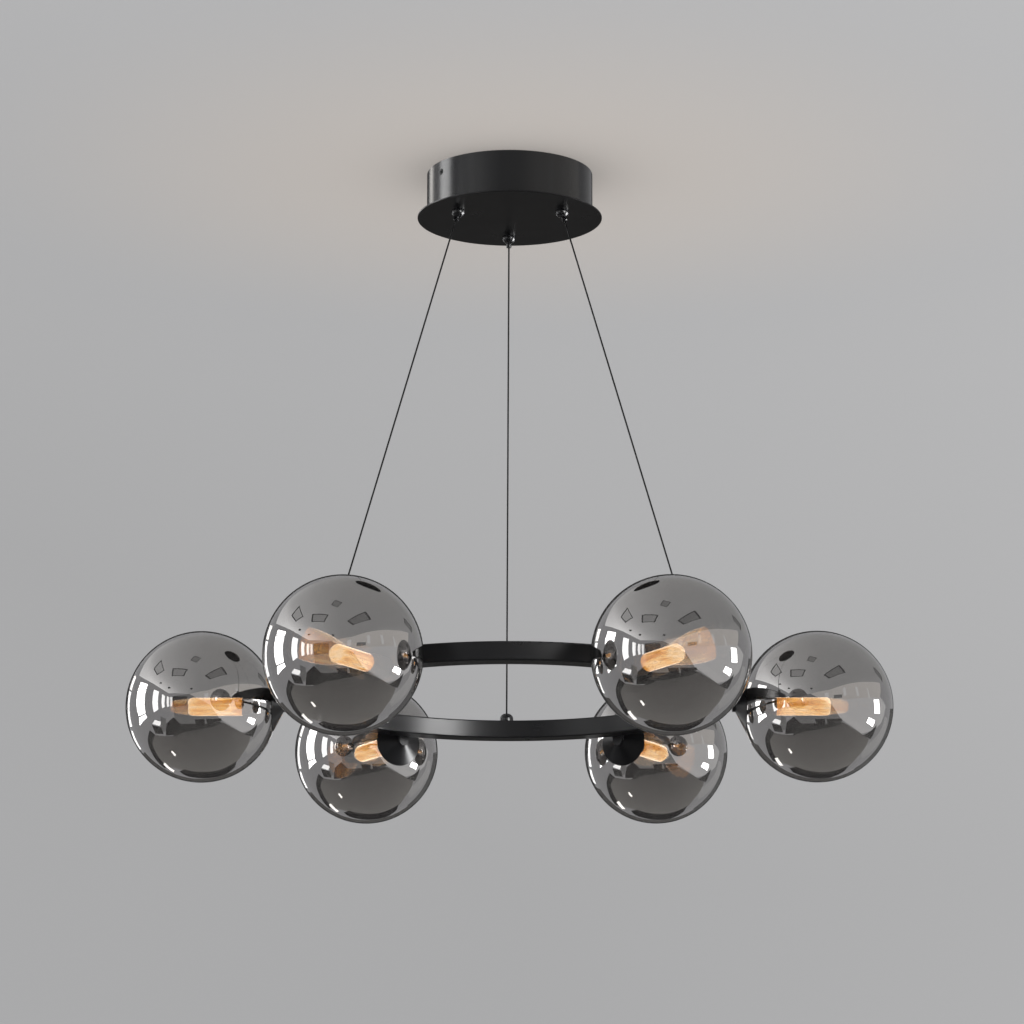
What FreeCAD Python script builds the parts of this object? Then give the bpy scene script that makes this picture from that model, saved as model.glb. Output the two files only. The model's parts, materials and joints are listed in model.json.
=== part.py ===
import FreeCAD, Part
import math
import os

import Sketcher

# Orb chandelier: a square-tube ring hung from a round ceiling canopy on three splayed
# cables, with six smoked glass globes screwed onto shallow conical caps round the ring.
# Millimetres, +Z up. The origin is the centre of the canopy's contact face on the ceiling,
# so the whole fitting hangs below z = 0.

doc = FreeCAD.newDocument("OrbChandelier")

GLOBE_COUNT = 6
CABLE_COUNT = 3
Z_AXIS = FreeCAD.Vector(0, 0, 1)

# ---------------------------------------------------------------- driving dimensions

sizes = doc.addObject("Spreadsheet::Sheet", "Sizes")

DRIVING = (
    # suspension and canopy
    ("globe_drop", 550.0, "ceiling to the plane of the globe centres"),
    ("canopy_height", 46.3, "ceiling to the underside of the base plate"),
    ("can_diameter", 168.4, "outside of the canopy can"),
    ("can_wall", 1.0, "sheet of the canopy can"),
    ("can_lip", 8.0, "width of the can's turned-in foot"),
    ("plate_diameter", 187.5, "base plate across"),
    ("plate_thickness", 1.7, "base plate sheet"),
    ("plate_edge", 0.5, "rounding of the base plate's rim"),
    ("suspension_turn", 1.2, "degrees by which the cables stand off the ring's middle line"),
    ("side_screw_turn", 35.5, "direction of the canopy's side screws in degrees"),
    ("side_screw_drop", 11.5, "ceiling to the side screws"),
    ("side_screw_hole", 6.4, "hole in the can for a side screw"),
    ("side_screw_head", 5.8, "side screw head across"),
    ("side_screw_head_height", 2.4, "side screw head"),
    ("side_screw_thread", 4.0, "side screw thread across"),
    ("side_screw_length", 7.0, "side screw shank"),
    # ceiling bracket
    ("bracket_thickness", 2.0, "bracket sheet"),
    ("bracket_disc", 64.0, "round middle of the bracket"),
    ("bracket_strap", 20.0, "width of the bracket's straps"),
    ("bracket_reach", 62.0, "middle to the end of the slotted strap"),
    ("bracket_gap", 0.9, "room between the bracket's ears and the can"),
    ("ear_width", 16.0, "bracket ear across"),
    ("ear_height", 17.0, "bracket ear, downward"),
    ("ceiling_hole_spacing", 90.0, "between the two ceiling screw slots"),
    ("slot_width", 5.2, "ceiling screw slot across"),
    ("slot_length", 20.0, "ceiling screw slot end to end"),
    ("supply_hole", 18.0, "hole for the supply cable"),
    ("earth_reach", 24.0, "middle to the earth screw"),
    ("earth_thread", 4.0, "earth screw thread"),
    ("earth_head", 7.5, "earth screw head across"),
    ("earth_head_height", 2.6, "earth screw head"),
    ("washer_thickness", 1.0, "earth washer"),
    ("washer_diameter", 9.0, "earth washer across"),
    # terminal block
    ("block_length", 30.0, "terminal block"),
    ("block_width", 15.0, "terminal block"),
    ("block_height", 13.0, "terminal block"),
    ("block_offset", 20.5, "middle of the bracket to the middle of the block"),
    ("block_pitch", 9.5, "between poles"),
    ("pole_bore", 3.4, "wire way of a pole"),
    ("clamp_screw", 3.0, "clamp screw across"),
    ("clamp_screw_depth", 4.5, "clamp screw length"),
    # cable grips
    ("grip_reach", 60.5, "canopy axis to a grip's ball centre"),
    ("grip_ball", 13.6, "grip head across"),
    ("grip_sink", 1.5, "ball centre below the base plate"),
    ("grip_thread", 10.0, "threaded stem of a grip"),
    ("grip_stem", 4.0, "stem above the base plate"),
    ("grip_bore", 3.6, "cable way through a grip"),
    ("grip_hole_gap", 0.2, "stem to the hole in the base plate, all round"),
    ("grip_nut_flats", 14.0, "grip nut across flats"),
    ("grip_nut_height", 3.0, "grip nut"),
    ("plunger_diameter", 5.4, "release plunger of a grip"),
    ("plunger_bore", 2.7, "cable way through a plunger"),
    ("plunger_gap", 0.08, "running gap round a plunger"),
    ("plunger_tip", 10.6, "ball centre to the plunger's free end"),
    ("plunger_length", 6.2, "release plunger"),
    ("spring_room", 3.2, "length of the room for a plunger's spring"),
    ("spring_wire", 0.5, "spring wire"),
    ("spring_gap", 0.05, "spring to the plunger and to the floor of its room"),
    # cables
    ("cable_diameter", 1.7, "sheathed suspension cable"),
    ("cable_tail", 13.5, "cable above the grip's ball centre"),
    ("ferrule_diameter", 4.4, "crimped ball on the cable's lower end"),
    # ring
    ("ring_diameter", 419.0, "middle line of the ring tube"),
    ("ring_rise", 3.8, "globe centres up to the ring's underside"),
    ("tube_width", 22.0, "ring tube, radial"),
    ("tube_height", 18.5, "ring tube, vertical"),
    ("tube_wall", 1.5, "ring tube wall"),
    ("tube_corner", 1.5, "rounding of the ring tube's edges"),
    ("dome_diameter", 13.8, "dome nut on the ring"),
    ("dome_height", 8.8, "dome nut above the ring"),
    ("dome_skirt", 3.2, "straight foot of a dome nut"),
    ("dome_stem", 8.0, "dome nut stem across"),
    ("dome_stem_length", 6.0, "dome nut stem inside the ring"),
    ("dome_bore", 5.2, "room for the crimped ball"),
    ("dome_stem_gap", 0.1, "stem to its hole in the ring, all round"),
    ("anchor_rise", 4.0, "ring top to the centre of the crimped ball"),
    ("anchor_room", 0.3, "room above the crimped ball"),
    ("cable_way", 2.7, "hole for the cable in a dome nut"),
    ("harness_diameter", 5.0, "bundle of leads in the ring"),
    ("harness_gap", 0.2, "bundle to the tube's floor"),
    # arm: lug and hollow stud
    ("lug_thickness", 3.1, "lug between ring and cap"),
    ("lug_width", 10.8, "lug across"),
    ("lug_top", 14.0, "globe centres up to the lug's top"),
    ("wire_way", 2.0, "drilled way in the lug"),
    ("wire_way_rise", 8.5, "globe centres up to the wire hole in the ring"),
    ("wire_hole", 5.0, "wire hole in the ring"),
    ("stud_diameter", 9.8, "hollow threaded stud"),
    ("stud_bore", 7.0, "bore of the stud"),
    ("stud_floor", 1.0, "lug left behind the stud's bore"),
    ("stud_hold", 4.0, "stud inside the lampholder"),
    ("thread_gap", 0.1, "stud to what it passes through, all round"),
    ("arm_nut_flats", 14.0, "nut behind the cap, across flats"),
    ("arm_nut_height", 4.4, "nut behind the cap"),
    # cap
    ("cap_diameter", 49.6, "cap rim across"),
    ("cap_depth", 10.0, "cap rim to its small end"),
    ("hub_diameter", 11.2, "small end of the cap"),
    ("hub_thickness", 2.9, "cap metal at its small end"),
    ("nut_seat", 17.0, "flat inside the cap for the nut, across"),
    ("cap_rim", 5.2, "width of the rim's face on the glass"),
    ("cap_gap", 0.3, "cap rim to the glass"),
    # threaded collar that carries the globe
    ("collar_diameter", 33.2, "threaded collar outside"),
    ("collar_wall", 1.4, "threaded collar wall"),
    ("collar_floor", 1.5, "threaded collar floor"),
    ("collar_length", 12.6, "threaded collar over all"),
    ("thread_pitch", 3.0, "between thread grooves"),
    ("thread_depth", 0.5, "depth of a thread groove"),
    # globe
    ("globe_diameter", 150.0, "glass globe outside"),
    ("globe_wall", 2.0, "glass"),
    ("mouth_gap", 0.4, "threaded collar to the glass neck, all round"),
    ("neck_wall", 2.5, "glass of the neck"),
    ("neck_depth", 11.0, "neck turned into the globe"),
    # lampholder
    ("holder_diameter", 21.0, "ceramic lampholder across"),
    ("holder_length", 22.0, "ceramic lampholder"),
    ("holder_edge", 1.2, "lampholder edge bevel"),
    ("pin_spacing", 9.0, "between the lamp's two pin loops"),
    ("pin_width", 2.8, "pin loop across"),
    ("pin_thickness", 0.8, "pin wire"),
    ("pin_length", 11.0, "pin loop below the base"),
    ("socket_gap", 0.4, "pin loop to its slot, all round"),
    ("socket_depth", 13.0, "pin slot"),
    # lamp
    ("base_gap", 0.3, "lamp base to the lampholder"),
    ("base_diameter", 16.8, "lamp base across"),
    ("base_length", 9.8, "lamp base"),
    ("base_neck", 13.0, "lamp base where it meets the lampholder"),
    ("lamp_diameter", 17.8, "lamp glass across"),
    ("lamp_length", 53.0, "lamp glass"),
    ("lamp_wall", 0.8, "lamp glass wall"),
    ("lamp_corner", 4.2, "rounding of the lamp glass's end"),
    ("board_width", 9.0, "light strip inside the lamp"),
    ("board_thickness", 1.2, "light strip"),
    ("board_gap", 4.0, "end of the light strip to the lamp's end"),
)

for row, (alias, value, note) in enumerate(DRIVING, start=1):
    sizes.set("A%d" % row, note)
    sizes.set("B%d" % row, "%g" % value)
    sizes.setAlias("B%d" % row, alias)

# ---------------------------------------------------------------- places worked out

places = doc.addObject("Spreadsheet::Sheet", "Places")

# Along an arm, x runs outward from the fitting's axis and the globe centres are at height 0.
WORKED_OUT = (
    ("ring_outer", "Sizes.ring_diameter / 2 + Sizes.tube_width / 2"),
    ("ring_inner", "Sizes.ring_diameter / 2 - Sizes.tube_width / 2"),
    ("ring_bottom", "Sizes.ring_rise"),
    ("ring_top", "Sizes.ring_rise + Sizes.tube_height"),
    ("hub_face", "ring_outer + Sizes.lug_thickness"),
    ("rim_face", "hub_face + Sizes.cap_depth"),
    ("cap_radius", "Sizes.cap_diameter / 2"),
    ("rim_inside", "cap_radius - Sizes.cap_rim"),
    ("globe_radius", "Sizes.globe_diameter / 2"),
    ("globe_inside", "globe_radius - Sizes.globe_wall"),
    ("globe_centre", "rim_face + Sizes.cap_gap + sqrt(globe_radius ^ 2 - cap_radius ^ 2)"),
    ("rim_inside_face", "globe_centre - Sizes.cap_gap - sqrt(globe_radius ^ 2 - rim_inside ^ 2)"),
    ("nut_face", "hub_face + Sizes.hub_thickness"),
    ("collar_face", "nut_face + Sizes.arm_nut_height"),
    ("collar_radius", "Sizes.collar_diameter / 2"),
    ("holder_face", "collar_face + Sizes.collar_floor"),
    ("holder_front", "holder_face + Sizes.holder_length"),
    ("neck_inside", "collar_radius + Sizes.mouth_gap"),
    ("neck_outside", "neck_inside + Sizes.neck_wall"),
    ("mouth_face", "globe_centre - sqrt(globe_radius ^ 2 - neck_inside ^ 2)"),
    ("neck_root", "globe_centre - sqrt(globe_inside ^ 2 - neck_outside ^ 2)"),
    ("neck_end", "mouth_face + Sizes.neck_depth"),
    ("base_face", "holder_front + Sizes.base_gap"),
    ("lamp_face", "base_face + Sizes.base_length"),
    ("lamp_end", "lamp_face + Sizes.lamp_length"),
    ("can_radius", "Sizes.can_diameter / 2"),
    ("can_inside", "can_radius - Sizes.can_wall"),
    ("plate_top", "Sizes.plate_thickness - Sizes.canopy_height"),
    ("ear_face", "sqrt((can_inside - Sizes.bracket_gap) ^ 2 - (Sizes.ear_width / 2) ^ 2)"),
    ("grip_level", "-Sizes.canopy_height - Sizes.grip_sink"),
    ("grip_radius", "Sizes.grip_ball / 2"),
    ("anchor_reach", "Sizes.ring_diameter / 2"),
    ("anchor_level", "ring_top + Sizes.anchor_rise - Sizes.globe_drop"),
    ("cable_run", "sqrt((anchor_reach - Sizes.grip_reach) ^ 2 + (grip_level - anchor_level) ^ 2)"),
    ("cable_tilt", "atan2(anchor_reach - Sizes.grip_reach; grip_level - anchor_level)"),
    ("plunger_inner", "Sizes.plunger_tip - Sizes.plunger_length"),
    ("spring_start", "plunger_inner - Sizes.spring_room"),
)

for row, (alias, formula) in enumerate(WORKED_OUT, start=1):
    places.set("A%d" % row, alias.replace("_", " "))
    places.set("B%d" % row, "=" + formula)
    places.setAlias("B%d" % row, alias)

doc.recompute()


def value(formula):
    """Present value of a formula, in millimetres or degrees."""
    return float(sizes.evalExpression(formula))


# ---------------------------------------------------------------- drawing helpers

def bind(obj, **formulas):
    """Tie an object's properties to the sheets; a dot in a property is written as two lines."""
    for name, formula in formulas.items():
        obj.setExpression(name.replace("__", "."), formula)
    return obj


def origin_plane(body, role):
    for feature in body.Origin.OriginFeatures:
        if feature.Role == role:
            return feature
    raise ValueError(role)


def outline(sketch, corners, arcs=None):
    """Closed outline through corners given as (across, up) formulas. arcs maps the index of
    a corner to (radius, centre across, centre up, anticlockwise) for the side after it."""
    arcs = arcs or {}
    count = len(corners)
    spots = [FreeCAD.Vector(value(a), value(b), 0) for a, b in corners]
    ends = []
    for index in range(count):
        start = spots[index]
        finish = spots[(index + 1) % count]
        if index in arcs:
            radius, across, up, anticlockwise = arcs[index]
            centre = FreeCAD.Vector(value(across), value(up), 0)
            first = start if anticlockwise else finish
            last = finish if anticlockwise else start
            first_angle = math.atan2(first.y - centre.y, first.x - centre.x)
            last_angle = math.atan2(last.y - centre.y, last.x - centre.x)
            circle = Part.Circle(centre, Z_AXIS, value(radius))
            side = sketch.addGeometry(Part.ArcOfCircle(circle, first_angle, last_angle), False)
            ends.append((side, 1, 2) if anticlockwise else (side, 2, 1))
        else:
            side = sketch.addGeometry(Part.LineSegment(start, finish), False)
            ends.append((side, 1, 2))
    for index in range(count):
        side, _, far_end = ends[index]
        following, near_end, _ = ends[(index + 1) % count]
        sketch.addConstraint(Sketcher.Constraint("Coincident", side, far_end, following, near_end))
    for index, (across, up) in enumerate(corners):
        side, near_end, _ = ends[index]
        pin_point(sketch, side, near_end, across, up)
        if index in arcs:
            radius = arcs[index][0]
            made = sketch.addConstraint(Sketcher.Constraint("Radius", side, value(radius)))
            sketch.setExpression("Constraints[%d]" % made, radius)


def pin_point(sketch, side, end, across, up):
    """Tie a point of a sketch to its two formulas; "0" puts it on the axis."""
    for kind, axis, formula in (("DistanceX", -2, across), ("DistanceY", -1, up)):
        if formula == "0":
            sketch.addConstraint(Sketcher.Constraint("PointOnObject", side, end, axis))
            continue
        made = sketch.addConstraint(Sketcher.Constraint(kind, -1, 1, side, end, value(formula)))
        sketch.setExpression("Constraints[%d]" % made, formula)


def new_body(label):
    body = doc.addObject("PartDesign::Body", "Body_" + label)
    body.Label = label
    return body


def new_sketch(body, name, role):
    sketch = body.newObject("Sketcher::SketchObject", name + "_" + body.Name)
    sketch.AttachmentSupport = [(origin_plane(body, role), "")]
    sketch.MapMode = "FlatFace"
    return sketch


def turned(label, corners, arcs=None, axis="H_Axis", role="XZ_Plane"):
    """Solid turned round the sketch's level axis (an arm piece) or its upright axis."""
    body = new_body(label)
    sketch = new_sketch(body, "Profile", role)
    outline(sketch, corners, arcs)
    spin = body.newObject("PartDesign::Revolution", "Turn_" + body.Name)
    spin.Profile = sketch
    spin.ReferenceAxis = (sketch, [axis])
    spin.Angle = 360
    return body


def cylinder(name, radius, height):
    return bind(doc.addObject("Part::Cylinder", name), Radius=radius, Height=height)


def moved(obj, across="0", depth="0", up="0"):
    """Shift a piece by three formulas."""
    for key, formula in (("x", across), ("y", depth), ("z", up)):
        if formula != "0":
            obj.setExpression("Placement.Base." + key, formula)
    return obj


def faced(obj, axis, degrees):
    """Turn a piece about its own axis by a formula."""
    obj.Placement = FreeCAD.Placement(obj.Placement.Base, FreeCAD.Rotation(axis, 1))
    obj.setExpression("Placement.Rotation.Angle", degrees)
    return obj


def along_x(obj):
    """Lay a piece made upright so that its own axis points outward along the arm."""
    return faced(obj, FreeCAD.Vector(0, 1, 0), "90")


def along_cable(obj):
    """Tip a piece made upright so that its own axis lies along the splayed cable."""
    return faced(obj, FreeCAD.Vector(0, -1, 0), "Places.cable_tilt")


def cut(name, base, tools):
    """Base with every tool taken out of it."""
    tool = tools[0]
    if len(tools) > 1:
        tool = doc.addObject("Part::MultiFuse", name + "_tools")
        tool.Shapes = tools
    result = doc.addObject("Part::Cut", name)
    result.Base = base
    result.Tool = tool
    return result


def fused(name, pieces):
    result = doc.addObject("Part::MultiFuse", name)
    result.Shapes = pieces
    return result


def group(label, pieces):
    """Like pieces that share one node and stay separate solids."""
    result = doc.addObject("Part::Compound", "Group_" + label)
    result.Label = label
    result.Links = pieces
    return result


def hexagon_nut(name, flats, height, bore):
    prism = doc.addObject("Part::Prism", name + "_prism")
    prism.Polygon = 6
    bind(prism, Circumradius=flats + " / sqrt(3)", Height=height)
    return cut(name, prism, [cylinder(name + "_bore", bore, height)])


def arm_turn(index):
    """Direction of an arm in degrees."""
    return "%g" % (index * 360.0 / GLOBE_COUNT)


def cable_turn(index):
    """Direction of a cable in degrees."""
    return "Sizes.suspension_turn + %g" % (90 + index * 360.0 / CABLE_COUNT)


def on_arm(obj, index):
    """Put a piece of an arm at its place round the ring."""
    return moved(faced(obj, Z_AXIS, arm_turn(index)), up="-Sizes.globe_drop")


def swung(obj, degrees):
    """Turn a piece that already has a turn of its own about the fitting's axis."""
    holder = doc.addObject("Part::Compound", "Swung_" + obj.Name)
    holder.Links = [obj]
    return faced(holder, Z_AXIS, degrees)


def at_cable(obj, below):
    """Place a piece on the cable's line, a distance below the grip's ball centre."""
    across = "Sizes.grip_reach + (%s) * sin(Places.cable_tilt)" % below
    up = "Places.grip_level - (%s) * cos(Places.cable_tilt)" % below
    return moved(along_cable(obj), across=across, up=up)


STUD_HOLE = "Sizes.stud_diameter / 2 + Sizes.thread_gap"


# ---------------------------------------------------------------- canopy

def canopy_can():
    """Spun can whose foot turns inward and stands on the base plate."""
    foot = "Places.plate_top"
    shell = turned("can_shell", [
        ("Places.can_radius", "0"),
        ("Places.can_inside", "0"),
        ("Places.can_inside", foot + " + Sizes.can_wall"),
        ("Places.can_radius - Sizes.can_lip", foot + " + Sizes.can_wall"),
        ("Places.can_radius - Sizes.can_lip", foot),
        ("Places.can_radius", foot),
    ], axis="V_Axis")
    hole = along_x(cylinder("Can_screw_hole", "Sizes.side_screw_hole / 2", "Sizes.can_diameter * 1.1"))
    moved(hole, across="-Sizes.can_diameter * 0.55", up="-Sizes.side_screw_drop")
    can = cut("Can", shell, [hole])
    can.Label = "canopy_can"
    return faced(can, Z_AXIS, "Sizes.side_screw_turn")


def canopy_plate():
    """Flat base plate with a softly rounded rim and a hole for each grip."""
    under = "-Sizes.canopy_height"
    rim = "Sizes.plate_diameter / 2"
    edge = "Sizes.plate_edge"
    disc = turned("plate_disc", [
        ("0", under),
        (rim + " - " + edge, under),
        (rim, under + " + " + edge),
        (rim, "Places.plate_top - " + edge),
        (rim + " - " + edge, "Places.plate_top"),
        ("0", "Places.plate_top"),
    ], arcs={
        1: (edge, rim + " - " + edge, under + " + " + edge, True),
        3: (edge, rim + " - " + edge, "Places.plate_top - " + edge, True),
    }, axis="V_Axis")
    holes = []
    for index in range(CABLE_COUNT):
        hole = cylinder("Plate_hole_%d" % (index + 1),
                        "Sizes.grip_thread / 2 + Sizes.grip_hole_gap",
                        "Sizes.plate_thickness * 2")
        moved(hole, across="Sizes.grip_reach",
              up="-Sizes.canopy_height - Sizes.plate_thickness / 2")
        holes.append(swung(hole, cable_turn(index)))
    plate = cut("Plate", disc, holes)
    plate.Label = "canopy_plate"
    return plate


def flat_bar(name, length, width):
    """Piece of the bracket's sheet, centred on the fitting's axis, its top on the ceiling."""
    bar = doc.addObject("Part::Box", name)
    bind(bar, Length=length, Width=width, Height="Sizes.bracket_thickness")
    return moved(bar, across="-(%s) / 2" % length, depth="-(%s) / 2" % width,
                 up="-Sizes.bracket_thickness")


def ceiling_bracket():
    """Round bracket with one slotted strap and one strap whose ears take the side screws."""
    thickness = "Sizes.bracket_thickness"
    through = thickness + " * 2"
    below = "-" + thickness + " * 1.5"
    disc = moved(cylinder("Bracket_disc", "Sizes.bracket_disc / 2", thickness), up="-" + thickness)
    strap = flat_bar("Bracket_strap", "Sizes.bracket_reach * 2", "Sizes.bracket_strap")
    ear_strap = flat_bar("Bracket_ear_strap", "Places.ear_face * 2", "Sizes.ear_width")
    ears = [ear_strap]
    for name, across in (("Ear_far", "Places.ear_face - " + thickness), ("Ear_near", "-Places.ear_face")):
        ear = doc.addObject("Part::Box", name)
        bind(ear, Length=thickness, Width="Sizes.ear_width", Height="Sizes.ear_height")
        ears.append(moved(ear, across=across, depth="-Sizes.ear_width / 2", up="-Sizes.ear_height"))
    eared = faced(fused("Bracket_ears", ears), Z_AXIS, "Sizes.side_screw_turn")
    sheet = fused("Bracket_sheet", [disc, strap, eared])

    supply = moved(cylinder("Supply_hole", "Sizes.supply_hole / 2", through), up=below)
    earth = moved(cylinder("Earth_hole", "Sizes.earth_thread / 2 + Sizes.thread_gap", through),
                  depth="-Sizes.earth_reach", up=below)
    screw_hole = along_x(cylinder("Ear_hole", "Sizes.side_screw_thread / 2 + Sizes.thread_gap",
                                  "Places.ear_face * 2.2"))
    moved(screw_hole, across="-Places.ear_face * 1.1", up="-Sizes.side_screw_drop")
    tools = [supply, earth, swung(screw_hole, "Sizes.side_screw_turn")]
    for name, side in (("Right", ""), ("Left", "-")):
        middle = "%sSizes.ceiling_hole_spacing / 2" % side
        straight = "(Sizes.slot_length - Sizes.slot_width)"
        channel = doc.addObject("Part::Box", name + "_slot")
        bind(channel, Length=straight, Width="Sizes.slot_width", Height=through)
        moved(channel, across=middle + " - " + straight + " / 2", depth="-Sizes.slot_width / 2", up=below)
        tools.append(channel)
        for end, sign in (("outer", "+"), ("inner", "-")):
            round_end = cylinder("%s_slot_%s" % (name, end), "Sizes.slot_width / 2", through)
            tools.append(moved(round_end, across="%s %s %s / 2" % (middle, sign, straight), up=below))
    bracket = cut("Bracket", sheet, tools)
    bracket.Label = "ceiling_bracket"
    return bracket


def side_screws():
    """Two short screws through the can into the bracket's ears, flush with the can."""
    screws = []
    for index in range(2):
        name = "Side_screw_%d" % (index + 1)
        head = along_x(cylinder(name + "_head", "Sizes.side_screw_head / 2", "Sizes.side_screw_head_height"))
        moved(head, across="Places.ear_face", up="-Sizes.side_screw_drop")
        shank = along_x(cylinder(name + "_shank", "Sizes.side_screw_thread / 2", "Sizes.side_screw_length"))
        moved(shank, across="Places.ear_face - Sizes.side_screw_length", up="-Sizes.side_screw_drop")
        socket = doc.addObject("Part::Prism", name + "_socket")
        socket.Polygon = 6
        bind(socket, Circumradius="Sizes.side_screw_thread * 0.32", Height="Sizes.side_screw_head_height")
        along_x(socket)
        moved(socket, across="Places.ear_face + Sizes.side_screw_head_height / 2",
              up="-Sizes.side_screw_drop")
        screw = cut(name, fused(name + "_blank", [head, shank]), [socket])
        screws.append(swung(screw, "Sizes.side_screw_turn + %d" % (index * 180)))
    return group("side_screws", screws)


def earth_screw():
    """Earth screw with its washer under the bracket."""
    base = "-Sizes.bracket_thickness"
    washer = cylinder("Earth_washer", "Sizes.washer_diameter / 2", "Sizes.washer_thickness")
    moved(washer, depth="-Sizes.earth_reach", up=base + " - Sizes.washer_thickness")
    head = cylinder("Earth_head", "Sizes.earth_head / 2", "Sizes.earth_head_height")
    moved(head, depth="-Sizes.earth_reach",
          up=base + " - Sizes.washer_thickness - Sizes.earth_head_height")
    shank = cylinder("Earth_shank", "Sizes.earth_thread / 2",
                     "Sizes.bracket_thickness * 0.8 + Sizes.washer_thickness")
    moved(shank, depth="-Sizes.earth_reach", up=base + " - Sizes.washer_thickness")
    slot = doc.addObject("Part::Box", "Earth_slot")
    bind(slot, Length="Sizes.earth_head * 1.2", Width="Sizes.earth_thread * 0.25",
         Height="Sizes.earth_head_height * 0.8")
    moved(slot, across="-Sizes.earth_head * 0.6",
          depth="-Sizes.earth_reach - Sizes.earth_thread * 0.125",
          up=base + " - Sizes.washer_thickness - Sizes.earth_head_height * 1.3")
    screw = cut("Earth_screw", fused("Earth_blank", [washer, head, shank]), [slot])
    screw.Label = "earth_screw"
    return screw


def pole_spots():
    """Clamp screws of the terminal block: (name, across, depth) of two per pole."""
    spots = []
    for pole in range(3):
        for row, sign in enumerate(("-", "+")):
            across = "%d * Sizes.block_pitch" % (pole - 1)
            depth = "Sizes.block_offset %s Sizes.block_width * 0.28" % sign
            spots.append(("pole_%d_%d" % (pole + 1, row + 1), across, depth))
    return spots


def terminal_block():
    """Three-pole terminal block on the bracket's underside, wire ways running front to back."""
    bottom = "-Sizes.bracket_thickness - Sizes.block_height"
    body = doc.addObject("Part::Box", "Block_body")
    bind(body, Length="Sizes.block_length", Width="Sizes.block_width", Height="Sizes.block_height")
    moved(body, across="-Sizes.block_length / 2",
          depth="Sizes.block_offset - Sizes.block_width / 2", up=bottom)
    tools = []
    for pole in range(3):
        way = cylinder("Wire_way_%d" % (pole + 1), "Sizes.pole_bore / 2", "Sizes.block_width * 1.2")
        faced(way, FreeCAD.Vector(-1, 0, 0), "90")
        tools.append(moved(way, across="%d * Sizes.block_pitch" % (pole - 1),
                           depth="Sizes.block_offset - Sizes.block_width * 0.6",
                           up=bottom + " + Sizes.block_height / 2"))
    for name, across, depth in pole_spots():
        hole = cylinder("Hole_" + name, "Sizes.clamp_screw / 2 + Sizes.thread_gap",
                        "Sizes.clamp_screw_depth + 1")
        tools.append(moved(hole, across=across, depth=depth, up=bottom + " - 1"))
    block = cut("Block", body, tools)
    block.Label = "terminal_block"
    return block


def terminal_screws():
    """Slotted clamp screws of the terminal block."""
    bottom = "-Sizes.bracket_thickness - Sizes.block_height"
    screws = []
    for name, across, depth in pole_spots():
        shank = cylinder("Clamp_" + name, "Sizes.clamp_screw / 2", "Sizes.clamp_screw_depth")
        moved(shank, across=across, depth=depth, up=bottom)
        slot = doc.addObject("Part::Box", "Slot_" + name)
        bind(slot, Length="Sizes.clamp_screw * 1.2", Width="Sizes.clamp_screw * 0.25",
             Height="Sizes.clamp_screw * 0.5")
        moved(slot, across=across + " - Sizes.clamp_screw * 0.6",
              depth=depth + " - Sizes.clamp_screw * 0.125", up=bottom + " - Sizes.clamp_screw * 0.2")
        screws.append(cut("Screw_" + name, shank, [slot]))
    return group("terminal_screws", screws)


# ---------------------------------------------------------------- cable grips and cables

def grip_body(index):
    """Ball head under the plate and threaded stem through it, drilled along the cable."""
    name = "Grip_%d" % (index + 1)
    ball = bind(doc.addObject("Part::Sphere", name + "_ball"), Radius="Places.grip_radius",
                Angle2="asin(Sizes.grip_sink / Places.grip_radius)")
    moved(ball, across="Sizes.grip_reach", up="Places.grip_level")
    stem = cylinder(name + "_stem", "Sizes.grip_thread / 2",
                    "Sizes.grip_sink + Sizes.plate_thickness + Sizes.grip_stem")
    moved(stem, across="Sizes.grip_reach", up="Places.grip_level")
    bore = cylinder(name + "_bore", "Sizes.grip_bore / 2", "Sizes.grip_ball * 2")
    at_cable(bore, "Sizes.grip_ball")
    room = cylinder(name + "_room", "Sizes.plunger_diameter / 2 + Sizes.plunger_gap",
                    "Sizes.grip_ball - Places.spring_start")
    at_cable(room, "Sizes.grip_ball")
    drilled = cut(name, fused(name + "_blank", [ball, stem]), [bore, room])
    return swung(drilled, cable_turn(index))


def grip_nut(index):
    nut = hexagon_nut("Grip_nut_%d" % (index + 1), "Sizes.grip_nut_flats", "Sizes.grip_nut_height",
                      "Sizes.grip_thread / 2 + Sizes.thread_gap")
    return swung(moved(nut, across="Sizes.grip_reach", up="Places.plate_top"), cable_turn(index))


def plunger(index):
    """Push-in nipple that frees the cable; its free end is bevelled."""
    name = "plunger_%d" % (index + 1)
    bevel = "Sizes.plunger_diameter * 0.12"
    sleeve = turned(name + "_sleeve", [
        ("Sizes.plunger_bore / 2", "0"),
        ("Sizes.plunger_diameter / 2 - " + bevel, "0"),
        ("Sizes.plunger_diameter / 2", bevel),
        ("Sizes.plunger_diameter / 2", "Sizes.plunger_length"),
        ("Sizes.plunger_bore / 2", "Sizes.plunger_length"),
    ], axis="V_Axis")
    at_cable(sleeve, "Sizes.plunger_tip")
    piece = swung(sleeve, cable_turn(index))
    piece.Label = name
    return piece


def plunger_spring(index):
    """Plain sleeve the size of the small coil spring between a plunger and its room's floor."""
    name = "plunger_spring_%d" % (index + 1)
    inner = "(Sizes.plunger_bore + Sizes.plunger_diameter) / 4 - Sizes.spring_wire / 2"
    outer = inner + " + Sizes.spring_wire"
    length = "Sizes.spring_room - 2 * Sizes.spring_gap"
    coil = turned(name + "_envelope", [(inner, "0"), (outer, "0"), (outer, length), (inner, length)],
                  axis="V_Axis")
    at_cable(coil, "Places.plunger_inner - Sizes.spring_gap")
    piece = swung(coil, cable_turn(index))
    piece.Label = name
    return piece


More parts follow.
